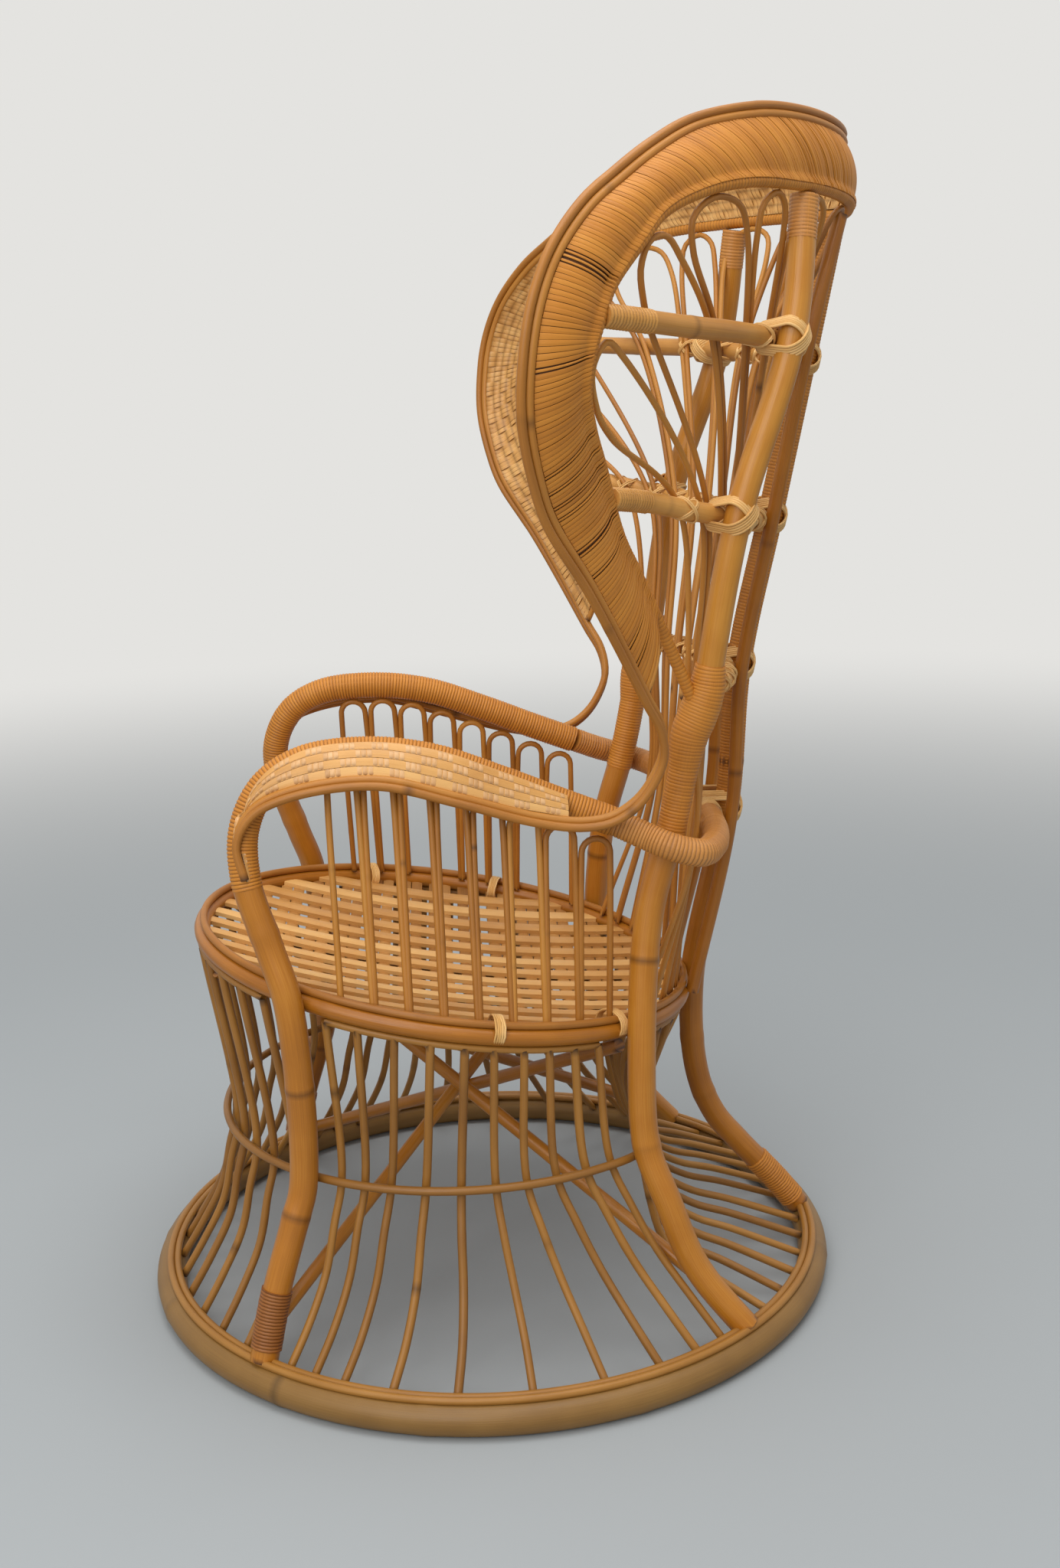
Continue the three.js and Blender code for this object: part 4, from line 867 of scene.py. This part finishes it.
slats = []
for i in range(slat_count):
    x = (i - (slat_count - 1) / 2) * SLAT_PITCH + chance.uniform(-0.001, 0.001)
    width = SLAT_WIDTH * chance.uniform(0.94, 1.04)
    slats.append(deck_strip((x, 0, slat_rise), chord(x), width, SLAT_THICK, 1, chance.uniform(0.25, 0.8)))
hand_over("seat_slat_canes", slats, slat_finish, "weave", "seat_slats")
crosses = []
for i in range(cross_count):
    for twin in (-0.5, 0.5):
        y = (i - (cross_count - 1) / 2) * CROSS_PITCH + twin * CROSS_TWIN
        # Cross canes run darker in tone than the slats: painted shade under the slats.
        tone = chance.uniform(0.1, 0.7)
        crosses.append(deck_strip((0, y, cross_rise), chord(y), CROSS_WIDTH, CROSS_THICK, 0, tone))
batten_length = CROSS_PITCH * (cross_count - 1)
crosses.append(deck_strip((0, 0, batten_rise), batten_length, BATTEN_WIDTH, SLAT_THICK, 1, 0.3))
hand_over("seat_cross_strips", crosses, cross_painted_shade, "weave", "seat_cross_canes")

# Skirt: flared canes from the seat ring past the waist hoop to the floor ring.
SKIRT_SHARES = [(0.715, -0.05, 0.128), (0.765, -0.03, 0.09), (0.845, -0.012, 0.054)]
REAR_SWEEP_SHARES = [(0.07, 0.109), (0.18, 0.072), (0.345, 0.055), (0.57, 0.0445)]
HEADER = 0.004
header_rise = -(SEAT_POLE + HEADER + GAP)
skirt_end_out = -0.8 * FLOOR_POLE
skirt_end_rise = 0.0113
# Room left between the waist hoop and the canes that pass inside it.
WAIST_ROOM = 0.0014
waist_inside = -(WAIST_CANE + SKIRT_CANE + WAIST_ROOM)


def skirt_cane(seat, waist, floor):
    """A cane that leaves the seat ring, the waist hoop and the floor ring each at its own angle."""
    points = [on_ring(SEAT_RING, seat * DEGREE, 0, header_rise),
              on_ring(WAIST_RING, waist * DEGREE, waist_inside)]
    for i, (out, shift, rise) in enumerate(SKIRT_SHARES):
        angle = (waist + (floor - waist) * (i + 1) / (len(SKIRT_SHARES) + 1)) * DEGREE
        points.append(spot((out * math.cos(angle), out * math.sin(angle) + shift, rise)))
    return bow(points + [on_ring(FLOOR_RING, floor * DEGREE, skirt_end_out, skirt_end_rise)])


def rear_cane(seat, waist_share, floor):
    """Behind, a cane leans in to the straight of the waist hoop and sweeps out flat to the floor ring."""
    waist = where(waist_back, 0, waist_share * BASE_RADIUS)
    waist.y -= WAIST_CANE + SKIRT_CANE + GAP
    foot = on_ring(FLOOR_RING, floor * DEGREE, skirt_end_out, skirt_end_rise)
    points = [on_ring(SEAT_RING, seat * DEGREE, 0, header_rise), waist]
    for part, rise in REAR_SWEEP_SHARES:
        points.append(waist.lerp(foot, part))
        points[-1].z = rise * OVERALL_HEIGHT
    return bow(points + [foot])


def skirt(cane, angles, turn):
    canes = []
    for row in angles:
        thick = SKIRT_CANE * chance.uniform(0.94, 1.04)
        canes.append(bend(even(turn(cane(*row)), 0.009), thick, 8, nodes=(chance.uniform(0.2, 0.8),)))
    header = bow([on_ring(SEAT_RING, row[0] * DEGREE, 0, header_rise) for row in angles])
    return canes + [bend(even(turn(header), 0.01), HEADER, 8)]


FRONT_COUNT = 12
FRONT_SPREAD = (46, 45.5, 41.5)
front_turns = [2 * i / (FRONT_COUNT - 1) - 1 for i in range(FRONT_COUNT)]
front_angles = [tuple(spread * turn - 90 for spread in FRONT_SPREAD) for turn in front_turns]
SIDE_ANGLES = [
    (-27, -31, -38), (-19.7, -25, -33), (-11.6, -18.7, -27.5), (-4, -10.8, -19), (3.2, -3, -8.4),
    (9.4, 4.6, 3.6), (16, 11.6, 15.5), (21.8, 18.6, 25.5), (28, 26, 33), (34.5, 32.8, 38.8),
]
REAR_ANGLES = [
    (49, 0.43, 51.5), (56.5, 0.355, 58.5), (64, 0.28, 65.5), (71.5, 0.2025, 72.5), (79, 0.125, 79.2),
    (86, 0.0425, 85.6),
]
hand_over("skirt_front_canes", skirt(skirt_cane, front_angles, as_made), skirt_painted_shade, "cane", "skirt_front")
for name, cane, angles in (("side", skirt_cane, SIDE_ANGLES), ("rear", rear_cane, REAR_ANGLES)):
    pair(f"skirt_{name}_canes", lambda turn: skirt(cane, angles, turn), skirt_painted_shade, "cane", f"skirt_{name}")

# Arm galleries: hairpins side by side. The feet of neighbouring pins meet on the seat ring.
arm_line = bow(arm_points)
GALLERY_FIRST, GALLERY_LAST, GALLERY_COUNT = -0.405 * BASE_RADIUS, 0.33 * BASE_RADIUS, 8
FOOT_MEET = 0.35
ARCH_STEPS = 12
BEAD_FLAT, SEAT_FLAT, RING_SAG = 0.00364, 0.00832, 0.00095


def foot_place(angle, cane):
    """Where a cane's foot stands on the seat ring, inside the bead."""
    out = -(BEAD_FLAT + cane + GAP + RING_SAG)
    return on_ring(SEAT_RING, angle, out, (SEAT_FLAT + cane + 2 * GAP) * math.sqrt(2) + out)


def gallery(turn):
    canes = []
    pitch = (GALLERY_LAST - GALLERY_FIRST) / GALLERY_COUNT
    inset = GALLERY_CANE + GAP
    for i in range(GALLERY_COUNT):
        front, back = GALLERY_FIRST + i * pitch + inset, GALLERY_FIRST + (i + 1) * pitch - inset
        middle, half = (front + back) / 2, (back - front) / 2
        tops = [where(arm_line, 1, y + MIDDLE_Y) for y in (middle, front, back)]
        crest = min(p.z for p in tops) - LEG - GALLERY_CANE - GAP
        meet = (1 - FOOT_MEET) * inset
        ends = [foot_place(math.asin((y - SEAT_RING[1]) / SEAT_RING[0]), GALLERY_CANE)
                for y in (front - meet, back + meet)]
        line = [ends[0]]
        for k in range(ARCH_STEPS + 1):
            angle = math.pi * k / ARCH_STEPS
            y, z = middle - half * math.cos(angle) + MIDDLE_Y, crest - half * (1 - math.sin(angle))
            foot = ends[0] if k < ARCH_STEPS / 2 else ends[1]
            part = (crest - z) / (crest - foot.z)
            line.append(Vector((tops[0].x + (foot.x - tops[0].x) * part, y + (foot.y - y) * part, z)))
        line = even(bow(line + ends[1:], 4), 0.005)
        canes.append(bend(turn(line), GALLERY_CANE, 10, nodes=(chance.uniform(0.1, 0.4),)))
    return canes


pair("gallery_hairpins", gallery, cane_skin, "cane", "arm_gallery")

# Fan: hairpins up the inside of the back, their crests against the hood pole.
FAN_SHARES = [
    (0.06, 0.06, 0.065, 0.08, 0.11, 0.13), (0.13, 0.13, 0.14, 0.17, 0.24, 0.315),
    (0.2, 0.2, 0.21, 0.26, 0.365, 0.505), (0.27, 0.27, 0.285, 0.345, 0.505, 0.63),
    (0.335, 0.335, 0.35, 0.425, 0.65, 0.81), (0.4, 0.4, 0.41, 0.495, 0.82, 0.905),
]
FAN_EDGE = (0.46, 0.45, 0.455, 0.565, None, 0.775)
FAN_EDGE_INNER = (0.4, 0.4, 0.41, 0.5, None, 0.84)
FAN_ARCH = 0.042
ARCH_UP, ARCH_IN = 0.52, 0.25
fan_reach = FAN_CANE + 10 * GAP
half_pair = FAN_CANE + GAP
fan_stop = HOOD_POLE + FAN_CANE + GAP
upper_part = bow(spots(HOOD_INNER_SHARES))
hood_top = [p for p in upper_part if p.z > 0.8 * OVERALL_HEIGHT][::-1]


def short_of(start, stop, short):
    return stop - (stop - start).normalized() * short


def fan_leg(shares, aside, meet=FOOT_MEET):
    """One leg of a hairpin, from the seat ring up inside the ribs, and where it aims on the hood pole."""
    seat, rail, low, mid, top, end = shares
    points = [foot_place(math.acos((seat * BASE_RADIUS + meet * aside) / SEAT_RING[0]), FAN_CANE)]
    levels = [(arm_rail, RAIL_REACH, rail), (low_rib, RIB_REACH, low), (mid_rib, RIB_REACH, mid)]
    if top:
        levels.append((top_rib, RIB_REACH, top))
        head = where(hood_top, 0, end * BASE_RADIUS + 2 * aside)
    else:
        head = where(upper_part, 2, end * OVERALL_HEIGHT)
    points += [beside(rib, share * BASE_RADIUS + aside, -(reach + fan_reach)) for rib, reach, share in levels]
    return points + [short_of(points[-1], head, fan_stop + FAN_ARCH)], head


def hairpin(one, other, crest):
    """Two legs and the arch between them."""
    (up, up_head), (down, down_head) = one, other
    first = up[-1].lerp(up_head, ARCH_UP).lerp(crest, ARCH_IN)
    second = down[-1].lerp(down_head, ARCH_UP).lerp(crest, ARCH_IN)
    return even(bow([*up, first, crest, second, *down[::-1]]), 0.008)


def fan(turn):
    canes = []
    for inner, outer in [*zip(FAN_SHARES, FAN_SHARES[1:]), (FAN_EDGE_INNER, FAN_EDGE)]:
        one = fan_leg(inner, half_pair, 1 if inner is FAN_SHARES[0] else FOOT_MEET)
        other = fan_leg(outer, -half_pair)
        middle = one[1].lerp(other[1], 0.5)
        on_pole = min(upper_part, key=lambda p: (p - middle).length)
        crest = short_of(one[0][-1].lerp(other[0][-1], 0.5), on_pole, fan_stop)
        nodes = (chance.uniform(0.1, 0.4), chance.uniform(0.6, 0.9))
        canes.append(bend(turn(hairpin(one, other, crest)), FAN_CANE, 10, nodes=nodes))
    return canes


pair("fan_hairpins", fan, cane_skin, "cane", "back_fan")
middle_leg = fan_leg(FAN_SHARES[0], -half_pair, 1)
middle_twin = (other_side(middle_leg[0]), other_side([middle_leg[1]])[0])
middle_crest = where(centre_post, 2, middle_leg[1].z - FAN_ARCH / 2)
middle_crest.y -= CENTRE_POST + FAN_CANE + 2 * GAP
middle_pin = bend(hairpin(middle_leg, middle_twin, middle_crest), FAN_CANE, 10, nodes=(0.2, 0.7))
hand_over("fan_middle_hairpin", [middle_pin], cane_skin, "cane", "back_fan_middle")

# Crossed braces. The right ones lie lower, so that they pass under the left ones.
BRACE_DROP = 2.75 * BRACE
for side, turn in SIDES:
    drop = 0 if side == "left" else BRACE_DROP
    for name, leg, share, angle in (("front", front_leg, 0.05, 137), ("rear", rear_leg, 0.06, 247)):
        start = where(leg, 2, share * OVERALL_HEIGHT - drop)
        stop = on_ring(SEAT_RING, angle * DEGREE, -0.7 * SEAT_POLE, -0.9 * SEAT_POLE - 0.7 * drop)
        brace = bend(turn(even([start, stop], 0.01)), BRACE, 12, nodes=(0.3, 0.68))
        hand_over(f"brace_{name}_pole_{side}", [brace], pole_finish, "pole", f"brace_{name}_{side}")


# Bindings: strips wound crosswise, pulled tight round two poles that meet.
def strap(centre, outward, sideways, first, second, apart, stations):
    """One turn round two poles. Each pole is given by its half depth and its half width on the slant."""
    line = []
    for i in range(stations):
        c, s = math.cos(2 * math.pi * i / stations), math.sin(2 * math.pi * i / stations)
        best = None
        for out, (deep, wide) in ((0, first), (apart, second)):
            reach = math.hypot(deep * c, wide * s)
            if best is None or out * c + reach > best[0]:
                best = (out * c + reach, out + deep * deep * c / reach, wide * wide * s / reach)
        line.append(centre + outward * best[1] + sideways * best[2])
    return line


def binding(pole, outward, along, first, second, apart, turns=5, thick=0.0015, stations=28, sides=8):
    across = along.cross(outward).normalized()
    loops = []
    for layer, sign in enumerate((-1, 1)):
        normal = (along + across * sign).normalized()
        sideways = normal.cross(outward).normalized()
        more = thick * (0.7 + layer)
        for k in range(turns):
            middle = pole + normal * ((k - (turns - 1) / 2) * thick * chance.uniform(1.75, 1.95))
            sizes = [(deep + more, wide + more) for deep, wide in (first, second)]
            line = strap(middle, outward, sideways, *sizes, apart, stations)
            loops.append(bend(line, thick, sides, closed=True, tone=chance.uniform(0.3, 0.8)))
    return loops


def crossing(rib, x, rib_radius, post_radius):
    """The binding at the place where a post passes outside a rib."""
    pole = where(rib, 0, x)
    apart = rib_radius + post_radius + GAP
    outward = (beside(rib, x, apart) - pole).normalized()
    slant = math.sqrt(2)
    return binding(pole, outward, heading(rib, pole), (rib_radius, rib_radius * slant),
                   (post_radius, post_radius * slant), apart)


def at_side(turn, x):
    """A distance from the middle, taken to the left or the right."""
    return turn([Vector((x, 0, 0))])[0].x


for name, rib, radius in (("rail", arm_rail, RAIL), ("low", low_rib, RIB), ("mid", mid_rib, RIB),
                          ("top", top_rib, RIB)):
    hand_over(f"binding_{name}", crossing(rib, 0, radius, CENTRE_POST),
              binding_finish, "lashing", f"lash_{name}")
for name, rib, x in (("mid", mid_rib, UPPER_POST_MID), ("top", top_rib, UPPER_POST_TOP)):
    pair(f"binding_side_{name}", lambda turn: crossing(turn(rib), at_side(turn, x), RIB, UPPER_POST),
         binding_finish, "lashing", f"lash_side_{name}")

# Turns of strip on the rail, either side of the centre post.
RAIL_TURNS = (0.055 * BASE_RADIUS, 0.13 * BASE_RADIUS)
TURNS_LIFT, TURNS_PROUD, TURNS_WIDTH = 0.0005, 0.0014, 0.005
rail_stretch = between(arm_rail, 0, *RAIL_TURNS)
pair("rail_turns", lambda turn: [wound(turn(rail_stretch), RAIL + TURNS_LIFT, TURNS_PROUD, TURNS_WIDTH,
                                       groove_shade=0.5)], binding_finish, "lashing")

# How wide a knot is round a rib and round a pair of canes, in their radii, and how far out knots are tied.
KNOT_STRIP = 0.0011
KNOT_WIDE, PAIR_WIDE = 1.3, 2.6
KNOTS_TO = 0.6


def knot(rib, x):
    """The small binding that holds a pair of fan canes against a rib."""
    pole = where(rib, 0, x)
    inward = (beside(rib, x, -RIB) - pole).normalized()
    return binding(pole, inward, heading(rib, pole), (RIB, RIB * KNOT_WIDE), (FAN_CANE, PAIR_WIDE * FAN_CANE),
                   RIB + fan_reach, 2, KNOT_STRIP, 18, 6)


def fan_knots(turn):
    knots = []
    for _, _, low, mid, top, _ in FAN_SHARES + [FAN_EDGE]:
        for rib, share in ((low_rib, low), (mid_rib, mid), (top_rib, top)):
            if share and share < KNOTS_TO:
                knots += knot(turn(rib), at_side(turn, share * BASE_RADIUS))
    return knots


pair("fan_knots", fan_knots, binding_finish, "lashing")

# Collars of strip round the seat ring and its bead.
COLLAR_TURNS, COLLAR_STRIP, COLLAR_POINTS = 5, 0.0012, 20
COLLAR_ANGLES = (10, 40, 165, 200)
COLLAR_IN = 0.009


def collar(angle):
    loops = []
    for k in range(COLLAR_TURNS):
        turn = angle * DEGREE + (k - COLLAR_TURNS / 2) * 1.9 * COLLAR_STRIP / SEAT_RING[0]
        line = []
        for i in range(COLLAR_POINTS):
            a = 2 * math.pi * i / COLLAR_POINTS
            reach = -COLLAR_IN + (SEAT_POLE + COLLAR_IN + COLLAR_STRIP) * math.cos(a)
            rise = SEAT_BEAD_RISE / 3 + (SEAT_POLE + SEAT_BEAD_RISE / 3 + COLLAR_STRIP) * math.sin(a)
            line.append(on_ring(SEAT_RING, turn + chance.uniform(-0.001, 0.001), reach, rise))
        loops.append(bend(line, COLLAR_STRIP, 6, closed=True, tone=chance.uniform(0.4, 0.9)))
    return loops


collars = [loop for angle in COLLAR_ANGLES for loop in collar(angle)]
hand_over("seat_collars", collars, binding_finish, "lashing")


# Room: pale floor and background, soft lamps, and the camera.
FLOOR_SIZE, FLOOR_DROP = 60, 0.0008
FLOOR_TONE = (164, 170, 174)
BACK_TONE = (228, 227, 224)

clear_bench()
bpy.ops.mesh.primitive_plane_add(size=FLOOR_SIZE, location=(0, 0, -FLOOR_DROP))
floor = bpy.context.object
floor.name = "floor"
floor_finish, floor_tree, floor_shader = new_finish("pale_floor")
feed(floor_shader, {"Base Color": paint(FLOOR_TONE), "Roughness": 0.8})
floor.data.materials.append(floor_finish)

# Far away the floor fades into the pale background, for the camera alone.
ground = new_node(floor_tree, "NewGeometry")
away = new_node(floor_tree, "VectorMath", {0: ground.outputs["Position"]}, operation="LENGTH")
fade = new_node(floor_tree, "MapRange", {"From Min": 1.2, "From Max": 5, "Value": away.outputs["Value"]},
                interpolation_type="SMOOTHSTEP")
watched = new_node(floor_tree, "LightPath")
part = new_node(floor_tree, "Math", {0: fade.outputs[0], 1: watched.outputs["Is Camera Ray"]},
                operation="MULTIPLY")
haze = new_node(floor_tree, "Emission", {"Color": paint(BACK_TONE), "Strength": 1})
blend = new_node(floor_tree, "MixShader", {"Fac": part.outputs[0], 1: floor_shader.outputs[0],
                                           2: haze.outputs[0]})
feed(floor_tree.nodes["Material Output"], {"Surface": blend.outputs[0]})

world = bpy.data.worlds.new("soft_room")
bpy.context.scene.world = world
world.use_nodes = True
tree = world.node_tree
fill = tree.nodes["Background"]
feed(fill, {"Color": (1, 0.99, 0.97, 1), "Strength": 0.5})
seen = new_node(tree, "Background", {"Color": paint(BACK_TONE), "Strength": 1})
rays = new_node(tree, "LightPath")
either = new_node(tree, "Math", {0: rays.outputs["Is Camera Ray"], 1: rays.outputs["Is Glossy Ray"]},
                  operation="MAXIMUM")
choose = new_node(tree, "MixShader", {"Fac": either.outputs[0], 1: fill.outputs[0], 2: seen.outputs[0]})
feed(tree.nodes["World Output"], {"Surface": choose.outputs[0]})


def lamp(name, place, aim, size, power, colour):
    clear_bench()
    bpy.ops.object.light_add(type="AREA", location=place)
    light = bpy.context.object
    light.name = name
    light.data.size = size
    light.data.energy = power
    light.data.color = colour
    light.rotation_euler = (Vector(aim) - Vector(place)).to_track_quat("-Z", "Y").to_euler()


lamp("side_light", (2.6, -1.2, 2.2), (0, 0, 0.6), 2.2, 52, (1, 0.98, 0.95))
lamp("top_light", (0.3, 0.2, 3.4), (0, 0, 0.5), 2.6, 66, (1, 0.98, 0.95))

# Camera at the photograph's place.
FOCAL_PIXELS, IMAGE_HEIGHT, SENSOR = 2235.46, 2048, 36
CAMERA_ROLL = -1.74 * DEGREE
eye = Vector((1.908467, -0.062328 + MIDDLE_Y, 1.012684))
forward = Vector((-0.9728225, 0.0632049, -0.2227589)).normalized()
level = forward.cross(Vector((0, 0, 1))).normalized()
upright = level.cross(forward)
side_way = level * math.cos(CAMERA_ROLL) + upright * math.sin(CAMERA_ROLL)
up_way = upright * math.cos(CAMERA_ROLL) - level * math.sin(CAMERA_ROLL)
clear_bench()
bpy.ops.object.camera_add(location=eye)
camera = bpy.context.object
camera.name = "photo_camera"
camera.rotation_euler = Matrix((side_way, up_way, -forward)).transposed().to_euler()
camera.data.sensor_width = SENSOR
camera.data.sensor_fit = "AUTO"
camera.data.lens = FOCAL_PIXELS * SENSOR / IMAGE_HEIGHT
camera.data.clip_start = 0.05
bpy.context.scene.camera = camera
bpy.context.scene.view_settings.view_transform = "Standard"
